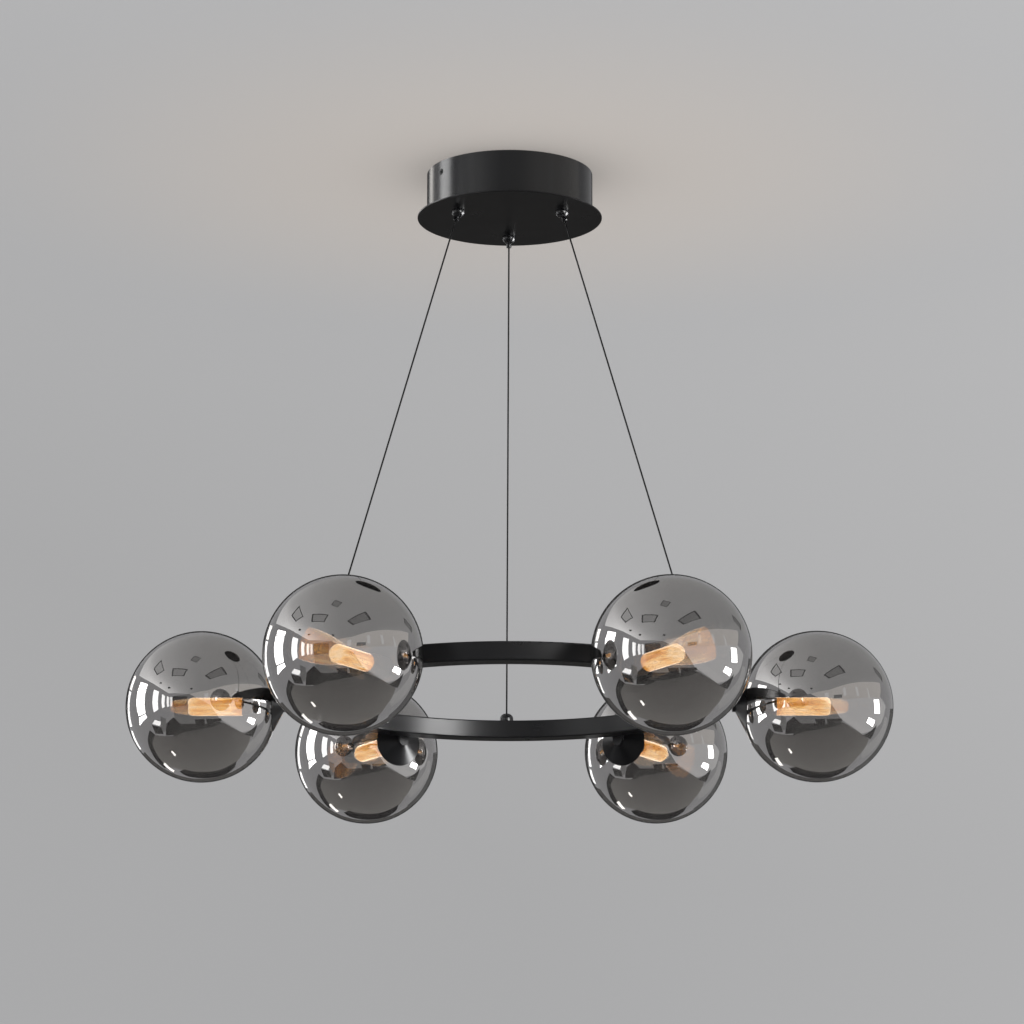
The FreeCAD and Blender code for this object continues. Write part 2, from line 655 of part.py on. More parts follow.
def suspension_cable(index):
    """Straight sheathed cable from the ball crimped on its lower end up into the canopy."""
    name = "suspension_cable_%d" % (index + 1)
    strand = cylinder("Strand_%d" % (index + 1), "Sizes.cable_diameter / 2",
                      "Places.cable_run + Sizes.cable_tail")
    at_cable(strand, "Places.cable_run")
    ball = bind(doc.addObject("Part::Sphere", "Ferrule_%d" % (index + 1)),
                Radius="Sizes.ferrule_diameter / 2")
    at_cable(ball, "Places.cable_run")
    piece = swung(fused("Cable_%d" % (index + 1), [strand, ball]), cable_turn(index))
    piece.Label = name
    return piece


# ---------------------------------------------------------------- ring

def rounded_corners(left, right, low, high, radius):
    """Corners and arcs of an outline that is a rectangle with rounded corners."""
    in_left = "%s + %s" % (left, radius)
    in_right = "%s - %s" % (right, radius)
    in_low = "%s + %s" % (low, radius)
    in_high = "%s - %s" % (high, radius)
    corners = [(in_left, low), (in_right, low), (right, in_low), (right, in_high),
               (in_right, high), (in_left, high), (left, in_high), (left, in_low)]
    arcs = {
        1: (radius, in_right, in_low, True),
        3: (radius, in_right, in_high, True),
        5: (radius, in_left, in_high, True),
        7: (radius, in_left, in_low, True),
    }
    return corners, arcs


def ring_tube():
    """Square tube bent to a ring, with wire holes outward and stem holes in its top."""
    body = new_body("ring_blank")
    sketch = new_sketch(body, "Section", "XZ_Plane")
    outside = rounded_corners("Places.ring_inner", "Places.ring_outer", "Places.ring_bottom",
                              "Places.ring_top", "Sizes.tube_corner")
    outline(sketch, *outside)
    wall = "Sizes.tube_wall"
    outline(sketch, [
        ("Places.ring_inner + " + wall, "Places.ring_bottom + " + wall),
        ("Places.ring_outer - " + wall, "Places.ring_bottom + " + wall),
        ("Places.ring_outer - " + wall, "Places.ring_top - " + wall),
        ("Places.ring_inner + " + wall, "Places.ring_top - " + wall),
    ])
    spin = body.newObject("PartDesign::Revolution", "Bend")
    spin.Profile = sketch
    spin.ReferenceAxis = (sketch, ["V_Axis"])
    spin.Angle = 360
    tools = []
    for index in range(GLOBE_COUNT):
        hole = along_x(cylinder("Wire_hole_%d" % (index + 1), "Sizes.wire_hole / 2", "Sizes.tube_width"))
        moved(hole, across="Sizes.ring_diameter / 2", up="Sizes.wire_way_rise")
        tools.append(swung(hole, arm_turn(index)))
    for index in range(CABLE_COUNT):
        hole = cylinder("Stem_hole_%d" % (index + 1), "Sizes.dome_stem / 2 + Sizes.dome_stem_gap",
                        "Sizes.tube_height")
        moved(hole, across="Places.anchor_reach", up="Places.ring_top - Sizes.tube_height / 2")
        tools.append(swung(hole, cable_turn(index)))
    tube = cut("Ring", body, tools)
    tube.Label = "ring_tube"
    return moved(tube, up="-Sizes.globe_drop")


def ring_harness():
    """Bundle of leads lying on the floor of the ring tube."""
    radius = "Sizes.harness_diameter / 2"
    bundle = bind(doc.addObject("Part::Torus", "Harness"), Radius1="Sizes.ring_diameter / 2",
                  Radius2=radius)
    bundle.Label = "ring_harness"
    return moved(bundle, up="Places.ring_bottom + Sizes.tube_wall + Sizes.harness_gap + %s"
                            " - Sizes.globe_drop" % radius)


def dome_nut(index):
    """Domed nut that traps the cable's crimped ball, drilled along the cable."""
    name = "Dome_%d" % (index + 1)
    skirt = "Sizes.dome_skirt"
    crown = "(Sizes.dome_height - Sizes.dome_skirt)"
    outer = "Sizes.dome_diameter / 2"
    bore = "Sizes.dome_bore / 2"
    roof = "Sizes.anchor_rise + Sizes.ferrule_diameter / 2 + Sizes.anchor_room"
    body = turned(name + "_blank", [
        (bore, "-Sizes.dome_stem_length"),
        ("Sizes.dome_stem / 2", "-Sizes.dome_stem_length"),
        ("Sizes.dome_stem / 2", "0"),
        (outer, "0"),
        (outer, skirt),
        (outer + " - " + crown, "Sizes.dome_height"),
        ("0", "Sizes.dome_height"),
        ("0", roof),
        (bore, roof),
    ], arcs={4: (crown, outer + " - " + crown, skirt, True)}, axis="V_Axis")
    moved(body, across="Places.anchor_reach", up="Places.ring_top - Sizes.globe_drop")
    way = cylinder(name + "_way", "Sizes.cable_way / 2", "Sizes.dome_height * 2")
    at_cable(way, "Places.cable_run")
    return swung(cut(name, body, [way]), cable_turn(index))


# ---------------------------------------------------------------- arms

def lug(index):
    """Lug on the ring's outer wall with the hollow stud that carries cap, collar and holder."""
    name = "Lug_%d" % (index + 1)
    ring_face = "Places.ring_outer"
    thickness = "Sizes.lug_thickness"
    upper = bind(doc.addObject("Part::Box", name + "_upper"), Length=thickness,
                 Width="Sizes.lug_width", Height="Sizes.lug_top")
    moved(upper, across=ring_face, depth="-Sizes.lug_width / 2")
    foot = moved(along_x(cylinder(name + "_foot", "Sizes.lug_width / 2", thickness)), across=ring_face)
    floor = ring_face + " + Sizes.stud_floor"
    tip = "Places.holder_face + Sizes.stud_hold"
    stud = along_x(cylinder(name + "_stud", "Sizes.stud_diameter / 2", "%s - (%s)" % (tip, floor)))
    bore = along_x(cylinder(name + "_bore", "Sizes.stud_bore / 2", "%s - (%s) + 1" % (tip, floor)))
    riser = cylinder(name + "_riser", "Sizes.wire_way / 2", "Sizes.wire_way_rise")
    outlet = along_x(cylinder(name + "_outlet", "Sizes.wire_way / 2", thickness))
    middle = "%s + %s / 2" % (ring_face, thickness)
    blank = fused(name + "_blank", [upper, foot, moved(stud, across=floor)])
    tools = [
        moved(bore, across=floor),
        moved(riser, across=middle),
        moved(outlet, across="%s - %s" % (middle, thickness), up="Sizes.wire_way_rise"),
    ]
    return on_arm(cut(name, blank, tools), index)


def arm_nut(index):
    """Nut that clamps the cap on the stud."""
    nut = hexagon_nut("Arm_nut_%d" % (index + 1), "Sizes.arm_nut_flats", "Sizes.arm_nut_height", STUD_HOLE)
    moved(along_x(nut), across="Places.nut_face")
    return moved(swung(nut, arm_turn(index)), up="-Sizes.globe_drop")


def cap(index):
    """Shallow spun cone whose rim follows the globe."""
    body = turned("cap_%d" % (index + 1), [
        ("Places.hub_face", STUD_HOLE),
        ("Places.hub_face", "Sizes.hub_diameter / 2"),
        ("Places.rim_face", "Places.cap_radius"),
        ("Places.rim_inside_face", "Places.rim_inside"),
        ("Places.nut_face", "Sizes.nut_seat / 2"),
        ("Places.nut_face", STUD_HOLE),
    ])
    return on_arm(body, index)


def collar(index):
    """Threaded cup inside the globe's neck."""
    outer = "Places.collar_radius"
    inner = outer + " - Sizes.collar_wall"
    end = "Places.collar_face + Sizes.collar_length"
    corners = [("Places.collar_face", STUD_HOLE), ("Places.collar_face", outer)]
    for groove in range(3):
        start = "Places.collar_face + Sizes.collar_floor + Sizes.thread_pitch * %g" % (groove + 0.4)
        corners.append((start, outer))
        corners.append((start + " + Sizes.thread_pitch / 4", outer + " - Sizes.thread_depth"))
        corners.append((start + " + Sizes.thread_pitch / 2", outer))
    corners += [(end, outer), (end, inner), ("Places.holder_face", inner), ("Places.holder_face", STUD_HOLE)]
    return on_arm(turned("collar_%d" % (index + 1), corners), index)


def globe(index):
    """Hollow glass globe with a neck turned inward round the threaded collar."""
    centre = "Places.globe_centre"
    body = turned("globe_%d" % (index + 1), [
        ("Places.mouth_face", "Places.neck_inside"),
        (centre + " + Places.globe_radius", "0"),
        (centre + " + Places.globe_inside", "0"),
        ("Places.neck_root", "Places.neck_outside"),
        ("Places.neck_end", "Places.neck_outside"),
        ("Places.neck_end", "Places.neck_inside"),
    ], arcs={
        0: ("Places.globe_radius", centre, "0", False),
        2: ("Places.globe_inside", centre, "0", True),
    })
    return on_arm(body, index)


def lampholder(index):
    """Ceramic holder on the stud's end, with two slots for the lamp's pins."""
    name = "lampholder_%d" % (index + 1)
    outer = "Sizes.holder_diameter / 2"
    edge = "Sizes.holder_edge"
    bore_end = "Places.holder_face + Sizes.stud_hold + Sizes.thread_gap * 5"
    body = turned(name + "_blank", [
        ("Places.holder_face", STUD_HOLE),
        ("Places.holder_face", outer + " - " + edge),
        ("Places.holder_face + " + edge, outer),
        ("Places.holder_front - " + edge, outer),
        ("Places.holder_front", outer + " - " + edge),
        ("Places.holder_front", "0"),
        (bore_end, "0"),
        (bore_end, STUD_HOLE),
    ])
    slots = []
    width = "(Sizes.pin_width + 2 * Sizes.socket_gap)"
    height = "(Sizes.pin_thickness + 2 * Sizes.socket_gap)"
    for side, sign in (("left", "-"), ("right", "")):
        slot = doc.addObject("Part::Box", "%s_%s" % (name, side))
        bind(slot, Length="Sizes.socket_depth + 1", Width=width, Height=height)
        slots.append(moved(slot, across="Places.holder_front - Sizes.socket_depth",
                           depth="%sSizes.pin_spacing / 2 - %s / 2" % (sign, width), up="-%s / 2" % height))
    holder = cut("Holder_%d" % (index + 1), body, slots)
    holder.Label = name
    return on_arm(holder, index)


def lamp_glass(index):
    """Tubular lamp envelope with a rounded end."""
    radius = "Sizes.lamp_diameter / 2"
    corner = "Sizes.lamp_corner"
    wall = "Sizes.lamp_wall"
    bend = "Places.lamp_end - " + corner
    body = turned("lamp_glass_%d" % (index + 1), [
        ("Places.lamp_face", radius),
        (bend, radius),
        ("Places.lamp_end", radius + " - " + corner),
        ("Places.lamp_end", "0"),
        ("Places.lamp_end - " + wall, "0"),
        ("Places.lamp_end - " + wall, radius + " - " + corner),
        (bend, radius + " - " + wall),
        ("Places.lamp_face", radius + " - " + wall),
    ], arcs={
        1: (corner, bend, radius + " - " + corner, False),
        5: (corner + " - " + wall, bend, radius + " - " + corner, True),
    })
    return on_arm(body, index)


def lamp_base(index):
    """Lamp base with its two pin loops and the light strip that stands inside the glass."""
    name = "lamp_base_%d" % (index + 1)
    shoulder = "Places.base_face + (Sizes.base_diameter - Sizes.base_neck) / 2"
    body = turned(name + "_body", [
        ("Places.base_face", "0"),
        ("Places.base_face", "Sizes.base_neck / 2"),
        (shoulder, "Sizes.base_diameter / 2"),
        ("Places.lamp_face", "Sizes.base_diameter / 2"),
        ("Places.lamp_face", "0"),
    ])
    pieces = [body]
    for side, sign in (("left", "-"), ("right", "")):
        pin = doc.addObject("Part::Box", "%s_pin_%s" % (name, side))
        bind(pin, Length="Sizes.pin_length", Width="Sizes.pin_width", Height="Sizes.pin_thickness")
        pieces.append(moved(pin, across="Places.base_face - Sizes.pin_length",
                            depth="%sSizes.pin_spacing / 2 - Sizes.pin_width / 2" % sign,
                            up="-Sizes.pin_thickness / 2"))
    strip = doc.addObject("Part::Box", name + "_strip")
    bind(strip, Length="Sizes.lamp_length - Sizes.lamp_wall - Sizes.board_gap",
         Width="Sizes.board_width", Height="Sizes.board_thickness")
    pieces.append(moved(strip, across="Places.lamp_face", depth="-Sizes.board_width / 2",
                        up="-Sizes.board_thickness / 2"))
    return on_arm(group(name, pieces), index)


# ---------------------------------------------------------------- assembly

nodes = [
    canopy_can(),
    canopy_plate(),
    ceiling_bracket(),
    side_screws(),
    earth_screw(),
    terminal_block(),
    terminal_screws(),
    group("grip_bodies", [grip_body(index) for index in range(CABLE_COUNT)]),
    group("grip_nuts", [grip_nut(index) for index in range(CABLE_COUNT)]),
    ring_tube(),
    ring_harness(),
    group("dome_nuts", [dome_nut(index) for index in range(CABLE_COUNT)]),
    group("arm_lugs", [lug(index) for index in range(GLOBE_COUNT)]),
    group("arm_nuts", [arm_nut(index) for index in range(GLOBE_COUNT)]),
]
for index in range(CABLE_COUNT):
    nodes += [plunger(index), plunger_spring(index), suspension_cable(index)]
for index in range(GLOBE_COUNT):
    nodes += [cap(index), collar(index), globe(index), lampholder(index), lamp_glass(index), lamp_base(index)]

doc.recompute()

# ---------------------------------------------------------------- checks and export

for obj in doc.Objects:
    if "Invalid" in obj.State or "Error" in obj.State:
        raise RuntimeError("%s failed: %s" % (obj.Label, obj.State))

os.makedirs("parts", exist_ok=True)
for node in nodes:
    shape = node.Shape
    if shape.isNull() or not shape.isValid() or not shape.Solids:
        raise RuntimeError("%s has no valid solid" % node.Label)
for node in nodes:
    node.Shape.exportStep("parts/%s.step" % node.Label)
    print(node.Label, len(node.Shape.Solids), "%.1f mm3" % node.Shape.Volume)
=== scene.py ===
import json
import math

import bpy
from mathutils import Matrix, Vector


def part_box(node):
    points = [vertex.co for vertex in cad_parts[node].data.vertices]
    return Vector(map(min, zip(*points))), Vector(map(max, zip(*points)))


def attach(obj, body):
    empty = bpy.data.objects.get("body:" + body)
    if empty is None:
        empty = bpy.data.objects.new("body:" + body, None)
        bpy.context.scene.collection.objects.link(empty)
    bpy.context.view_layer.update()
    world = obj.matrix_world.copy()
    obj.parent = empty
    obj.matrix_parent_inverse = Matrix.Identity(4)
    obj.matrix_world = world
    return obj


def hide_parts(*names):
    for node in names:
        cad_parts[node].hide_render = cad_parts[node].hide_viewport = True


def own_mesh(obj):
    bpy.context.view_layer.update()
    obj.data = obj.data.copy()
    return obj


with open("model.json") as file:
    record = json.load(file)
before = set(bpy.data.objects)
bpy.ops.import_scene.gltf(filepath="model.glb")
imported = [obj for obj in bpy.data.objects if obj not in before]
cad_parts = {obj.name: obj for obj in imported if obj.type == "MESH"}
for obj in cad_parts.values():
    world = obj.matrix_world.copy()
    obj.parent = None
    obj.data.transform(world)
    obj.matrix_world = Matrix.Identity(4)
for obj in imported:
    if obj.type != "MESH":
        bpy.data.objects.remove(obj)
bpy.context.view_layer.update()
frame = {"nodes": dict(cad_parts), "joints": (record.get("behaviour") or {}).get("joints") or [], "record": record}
nodes = frame["nodes"]
record = frame["record"]

bl_info = {
    "name": "Orb chandelier",
    "version": (1, 0, 0),
    "blender": (4, 5, 0),
    "location": "View3D > Sidebar > Orb",
    "description": "Smoked glass globes, lit lamps, black metalwork and a studio for the chandelier",
    "category": "Object",
}

ARMS = range(1, 7)
FIRST_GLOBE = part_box("globe_1")
FIRST_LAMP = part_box("lamp_glass_1")
GLOBE_RADIUS = (FIRST_GLOBE[1].z - FIRST_GLOBE[0].z) / 2
GLOBE_CENTRE = Vector((FIRST_GLOBE[1].x - GLOBE_RADIUS, 0, (FIRST_GLOBE[0].z + FIRST_GLOBE[1].z) / 2))

# How finely the round pieces are divided, and the angle in degrees past which an edge stays crisp
GLOBE_SEGMENTS, GLOBE_RINGS = 144, 84
LAMP_SIDES, LAMP_END_STEPS = 64, 8
SPRING_TURNS, STEPS_PER_TURN, WIRE_SIDES = 3, 24, 10
CRISP_ANGLE = 40
MERGE_DISTANCE = 0.00001
FACE_TOLERANCE = 0.0001

# Real sizes of the surfaces' patterns, in metres: soft patches in a coat's gloss, depth of a grain, slow
# change of the globes' mirror film, streaks of the lamp glass, and lay of the cable's strands. A coat's own
# grain is near 0.2 mm, which is too fine to show, so each finish draws it one or two millimetres wide.
GLOSS_PATCH = 0.0263
GRAIN_DEPTH = 0.0002
FILM_PATCH = 0.111
STREAK_WIDTH, STREAK_LENGTH = 0.003727, 0.0482
STRAND_LAY = 0.0019635


# ---------------------------------------------------------------- sizes and colours

def length_property(name, description, default):
    return bpy.props.FloatProperty(
        name=name, description=description, default=default, min=0.0, precision=4,
        subtype="DISTANCE", unit="LENGTH")


def colour_property(name, description, hexadecimal):
    return bpy.props.FloatVectorProperty(
        name=name, description=description, default=linear(hexadecimal)[:3], size=3,
        min=0.0, max=1.0, subtype="COLOR")


def linear(hexadecimal):
    """Scene-linear colour of an sRGB hex code, with an alpha of 1."""
    channels = []
    for start in (0, 2, 4):
        level = int(hexadecimal[start:start + 2], 16) / 255
        channels.append(level / 12.92 if level <= 0.04045 else ((level + 0.055) / 1.055) ** 2.4)
    return (*channels, 1.0)


class OrbSizes(bpy.types.PropertyGroup):
    """Sizes of the glass and of the springs' wire."""

    globe_radius: length_property("Globe radius", "Outside of the glass globe", GLOBE_RADIUS)
    globe_wall: length_property("Globe wall", "Thickness of the glass globe", 0.002)
    mouth_radius: length_property("Mouth radius", "Clear opening of a globe's neck", 0.017)
    neck_depth: length_property("Neck depth", "Neck turned into the globe", 0.011)
    lamp_radius: length_property("Lamp radius", "Outside of the lamp glass",
                                 (FIRST_LAMP[1].z - FIRST_LAMP[0].z) / 2)
    lamp_length: length_property("Lamp length", "Lamp glass from its base to its end",
                                 FIRST_LAMP[1].x - FIRST_LAMP[0].x)
    lamp_corner: length_property("Lamp corner", "Rounding of the lamp glass's end", 0.0042)
    lamp_wall: length_property("Lamp wall", "Thickness of the lamp glass", 0.0008)
    spring_wire: length_property("Spring wire", "Diameter of a plunger spring's wire", 0.0005)


class OrbColours(bpy.types.PropertyGroup):
    """Colours of the finishes."""

    black: colour_property("Black coat", "Satin coat of canopy, ring and caps", "0e0e10")
    smoke: colour_property("Smoked glass", "Mirror tint of the globes", "c9c7c6")
    glow: colour_property("Lamp glow", "Light of the lamps", "ebb365")
    steel: colour_property("Steel", "Bracket, nuts and springs", "b9babc")
    backdrop: colour_property("Backdrop", "Wall and ceiling behind the fitting", "b2b2b3")


# ---------------------------------------------------------------- materials

# Space from one node to the next in the editor
NODE_STEP = 220
# A Mix node's colour sockets by number, because several of its sockets share a name
MIX_SHARE, MIX_FIRST, MIX_SECOND, MIX_RESULT = 0, 6, 7, 2


def grey(level):
    return (level, level, level, 1.0)


def shaded(colour, *shares):
    """A colour with its channels times one share, or each times its own, and an alpha of 1."""
    if len(shares) == 1:
        shares = shares * 3
    return (*(min(1.0, level * share) for level, share in zip(colour, shares)), 1.0)


def add_node(tree, kind, inputs=None, stops=(), **settings):
    """Add a node with its settings. Each input, by name or number, takes a value or the output that
    feeds it. The stops are a colour ramp's places and colours."""
    node = tree.nodes.new(kind)
    node.location = (NODE_STEP * len(tree.nodes), 0)
    for key, setting in settings.items():
        setattr(node, key, setting)
    for key, source in (inputs or {}).items():
        if isinstance(source, bpy.types.NodeSocket):
            tree.links.new(source, node.inputs[key])
        else:
            node.inputs[key].default_value = source
    if stops:
        elements = node.color_ramp.elements
        while len(elements) < len(stops):
            elements.new(1.0)
        for element, (place, colour) in zip(elements, stops):
            element.position = place
            element.color = colour
    return node


def new_material(name):
    """Empty node material and its tree."""
    material = bpy.data.materials.new(name)
    material.use_nodes = True
    material.node_tree.nodes.clear()
    return material, material.node_tree


def grained(name, base, roughness, grain, relief, metallic=0.0, shine=0.5):
    """Finish whose gloss wanders between two values of roughness, which keeps a broad sheen from looking
    drawn, and whose skin has a fine grain of a size in metres."""
    material, tree = new_material(name)
    place = add_node(tree, "ShaderNodeTexCoord").outputs["Object"]
    patches = add_node(tree, "ShaderNodeTexNoise", {
        "Vector": place, "Scale": 1 / GLOSS_PATCH, "Detail": 4.0})
    spread = add_node(tree, "ShaderNodeMapRange", {
        "Value": patches.outputs["Fac"], "To Min": roughness[0], "To Max": roughness[1]})
    skin = add_node(tree, "ShaderNodeTexNoise", {"Vector": place, "Scale": 1 / grain, "Detail": 3.0})
    bump = add_node(tree, "ShaderNodeBump", {
        "Height": skin.outputs["Fac"], "Strength": relief, "Distance": GRAIN_DEPTH})
    shader = add_node(tree, "ShaderNodeBsdfPrincipled", {
        "Base Color": base, "Metallic": metallic, "Roughness": spread.outputs["Result"],
        "Specular IOR Level": shine, "Normal": bump.outputs["Normal"]})
    add_node(tree, "ShaderNodeOutputMaterial", {"Surface": shader.outputs[0]})
    return material


def smoked_glass(tint):
    """Blown glass under a thin metal film. It mirrors the room and still shows the lamp inside."""
    material, tree = new_material("smoked_mirror_glass")
    place = add_node(tree, "ShaderNodeTexCoord").outputs["Object"]
    patches = add_node(tree, "ShaderNodeTexNoise", {"Vector": place, "Scale": 1 / FILM_PATCH, "Detail": 2.0})
    film = add_node(tree, "ShaderNodeMapRange", {
        "Value": patches.outputs["Fac"], "To Min": 0.50, "To Max": 0.56})
    shader = add_node(tree, "ShaderNodeBsdfPrincipled", {
        "Base Color": (*tint, 1.0), "Metallic": film.outputs["Result"], "Roughness": 0.0, "IOR": 1.5,
        "Transmission Weight": 1.0})
    add_node(tree, "ShaderNodeOutputMaterial", {"Surface": shader.outputs[0]})
    return material


def glowing_glass(colour, radius, length):
    """Lit tubular lamp glass. It has fine streaks along it, is deeper in tone near its base, and is paler
    and brighter at its end. A painted highlight also makes it paler and brighter where it turns away from the eye."""
    material, tree = new_material("lit_lamp_glass")
    unrolled = add_node(tree, "ShaderNodeTexCoord").outputs["UV"]
    # the glass's side fills the upper half of its UV map, so the whole map is twice as long as the glass
    stretch = add_node(tree, "ShaderNodeMapping", {
        "Vector": unrolled,
        "Scale": (math.tau * radius / STREAK_WIDTH, 2 * length / STREAK_LENGTH, 1.0)})
    streaks = add_node(tree, "ShaderNodeTexNoise", {
        "Vector": stretch.outputs["Vector"], "Scale": 1.0, "Detail": 4.0, "Roughness": 0.65})
    # depth of tone: up to 0.495 on the end's own face, then from 0.5 at the base to 1 at the end
    along = add_node(tree, "ShaderNodeSeparateXYZ", {0: unrolled})
    depth = add_node(tree, "ShaderNodeValToRGB", {"Fac": along.outputs["Y"]}, stops=(
        (0.0, grey(0.62)), (0.495, grey(0.62)), (0.5, grey(0.15)), (0.58, grey(0.36)), (0.9, grey(0.40)),
        (1.0, grey(0.62))))
    blend = add_node(tree, "ShaderNodeMath", {
        0: depth.outputs["Color"], 1: 0.55, 2: streaks.outputs["Fac"]}, operation="MULTIPLY_ADD")
    shift = add_node(tree, "ShaderNodeMath", {0: blend.outputs[0], 1: 0.26}, operation="SUBTRACT")
    tone = add_node(tree, "ShaderNodeValToRGB", {"Fac": shift.outputs[0]}, stops=(
        (0.39, shaded(colour, 0.70, 0.50, 0.26)), (0.49, (*colour, 1.0)),
        (0.64, shaded(colour, 1.08, 1.45, 2.9))))
    # painted highlight: the glass glows paler and brighter where it turns away from the eye
    turned = add_node(tree, "ShaderNodeLayerWeight", {"Blend": 0.35})
    painted_rim_highlight = add_node(tree, "ShaderNodeValToRGB", {"Fac": turned.outputs["Facing"]}, stops=(
        (0.55, grey(0.0)), (0.84, grey(1.0))))
    lit = add_node(tree, "ShaderNodeMix", {
        MIX_SHARE: painted_rim_highlight.outputs["Color"], MIX_FIRST: tone.outputs["Color"],
        MIX_SECOND: linear("ffebd4")}, data_type="RGBA")
    power = add_node(tree, "ShaderNodeMapRange", {
        "Value": painted_rim_highlight.outputs["Color"], "To Min": 6.2, "To Max": 12.0})
    shader = add_node(tree, "ShaderNodeBsdfPrincipled", {
        "Base Color": (*colour, 1.0), "Roughness": 0.25, "Coat Weight": 0.5,
        "Emission Color": lit.outputs[MIX_RESULT], "Emission Strength": power.outputs["Result"]})
    add_node(tree, "ShaderNodeOutputMaterial", {"Surface": shader.outputs[0]})
    return material


def twisted_steel(base):
    """Stranded steel cable in a dark sheath. Its colour has a fine light and dark beat along the lay of the
    strands: painted shade between the strands and painted sheen on them.
    """
    material, tree = new_material("sheathed_steel_cable")
    place = add_node(tree, "ShaderNodeTexCoord").outputs["Object"]
    # at a scale of 1 the wave texture's sine runs through 20 radians in a metre
    lay = add_node(tree, "ShaderNodeTexWave", {
        "Vector": place, "Scale": math.tau / (20 * STRAND_LAY), "Distortion": 1.5, "Detail": 2.0},
        bands_direction="Z")
    # painted shade and sheen: darker and lighter bands along the strands' lay
    tone = add_node(tree, "ShaderNodeValToRGB", {"Fac": lay.outputs["Color"]}, stops=(
        (0.2, base), (0.9, shaded(base, 1.8))))
    bump = add_node(tree, "ShaderNodeBump", {
        "Height": lay.outputs["Fac"], "Strength": 0.3, "Distance": GRAIN_DEPTH})
    shader = add_node(tree, "ShaderNodeBsdfPrincipled", {
        "Base Color": tone.outputs["Color"], "Metallic": 0.3, "Roughness": 0.5,
        "Normal": bump.outputs["Normal"]})
    add_node(tree, "ShaderNodeOutputMaterial", {"Surface": shader.outputs[0]})
    return material


# ---------------------------------------------------------------- modelling helpers

def nothing_selected():
    if bpy.context.object and bpy.context.object.mode != "OBJECT":
        bpy.ops.object.mode_set(mode="OBJECT")
    for obj in bpy.context.selected_objects:
        obj.select_set(False)


def select_faces(obj, chosen):
    """In edit mode, leave selected only the faces whose middle passes a test."""
    bpy.ops.mesh.select_all(action="DESELECT")
    bpy.ops.object.mode_set(mode="OBJECT")
    for face in obj.data.polygons:
        face.select = chosen(face.center)
    bpy.ops.object.mode_set(mode="EDIT")


def settle(obj):
    """Put an object's place into its mesh."""
    obj.data.transform(obj.matrix_world)
    obj.matrix_world = Matrix.Identity(4)


def apply_modifier(obj, kind, **settings):
    """Give an object one modifier and put its result into the mesh."""
    modifier = obj.modifiers.new(kind.title(), kind)
    for key, setting in settings.items():
        setattr(modifier, key, setting)
    nothing_selected()
    obj.select_set(True)
    bpy.context.view_layer.objects.active = obj
    bpy.ops.object.modifier_apply(modifier=modifier.name)


def smooth(obj, degrees=CRISP_ANGLE):
    """Shade smooth, with the edges past an angle left crisp."""
    nothing_selected()
    obj.select_set(True)
    bpy.context.view_layer.objects.active = obj
    bpy.ops.object.shade_smooth_by_angle(angle=math.radians(degrees))


def set_material(obj, material):
    obj.data.materials.clear()
    obj.data.materials.append(material)


def arm_place(arm):
    """Turn from the first arm to another."""
    return Matrix.Rotation(math.radians(360 / len(ARMS) * (arm - 1)), 4, "Z")


def copies_round(pattern, name, place):
    """One copy of a pattern per arm, each with its own mesh; the pattern itself goes."""
    made = []
    for arm in ARMS:
        piece = pattern.copy()
        piece.data = pattern.data.copy()
        piece.name = "%s_%d" % (name, arm)
        piece.data.name = piece.name
        bpy.context.scene.collection.objects.link(piece)
        piece.data.transform(arm_place(arm) @ place)
        made.append(piece)
    bpy.data.objects.remove(pattern)
    return made


# ---------------------------------------------------------------- pieces

class ORB_OT_globes(bpy.types.Operator):
    """Blow the smoked globes with the neck turned into each"""

    bl_idname = "orb.globes"
    bl_label = "Smoked globes"

    def execute(self, context):
        sizes = context.scene.orb_sizes
        mouth = -math.sqrt(sizes.globe_radius ** 2 - sizes.mouth_radius ** 2)
        nothing_selected()
        bpy.ops.mesh.primitive_uv_sphere_add(
            segments=GLOBE_SEGMENTS, ring_count=GLOBE_RINGS, radius=sizes.globe_radius,
            rotation=(0, math.pi / 2, 0))
        globe = context.object
        settle(globe)
        bpy.ops.object.mode_set(mode="EDIT")
        bpy.ops.mesh.select_all(action="SELECT")
        bpy.ops.mesh.bisect(plane_co=(mouth, 0, 0), plane_no=(1, 0, 0), clear_inner=True)
        bpy.ops.mesh.extrude_region_move(TRANSFORM_OT_translate={"value": (sizes.neck_depth, 0, 0)})
        bpy.ops.mesh.select_all(action="SELECT")
        bpy.ops.mesh.remove_doubles(threshold=MERGE_DISTANCE)
        bpy.ops.mesh.normals_make_consistent(inside=False)
        bpy.ops.object.mode_set(mode="OBJECT")
        apply_modifier(globe, "SOLIDIFY", thickness=sizes.globe_wall, offset=-1.0)
        smooth(globe)
        set_material(globe, smoked_glass(context.scene.orb_colours.smoke))
        globes = copies_round(globe, "glass_globe", Matrix.Translation(GLOBE_CENTRE))
        for arm, piece in zip(ARMS, globes):
            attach(piece, "globe_%d" % arm)
            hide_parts("globe_%d" % arm)
        return {"FINISHED"}


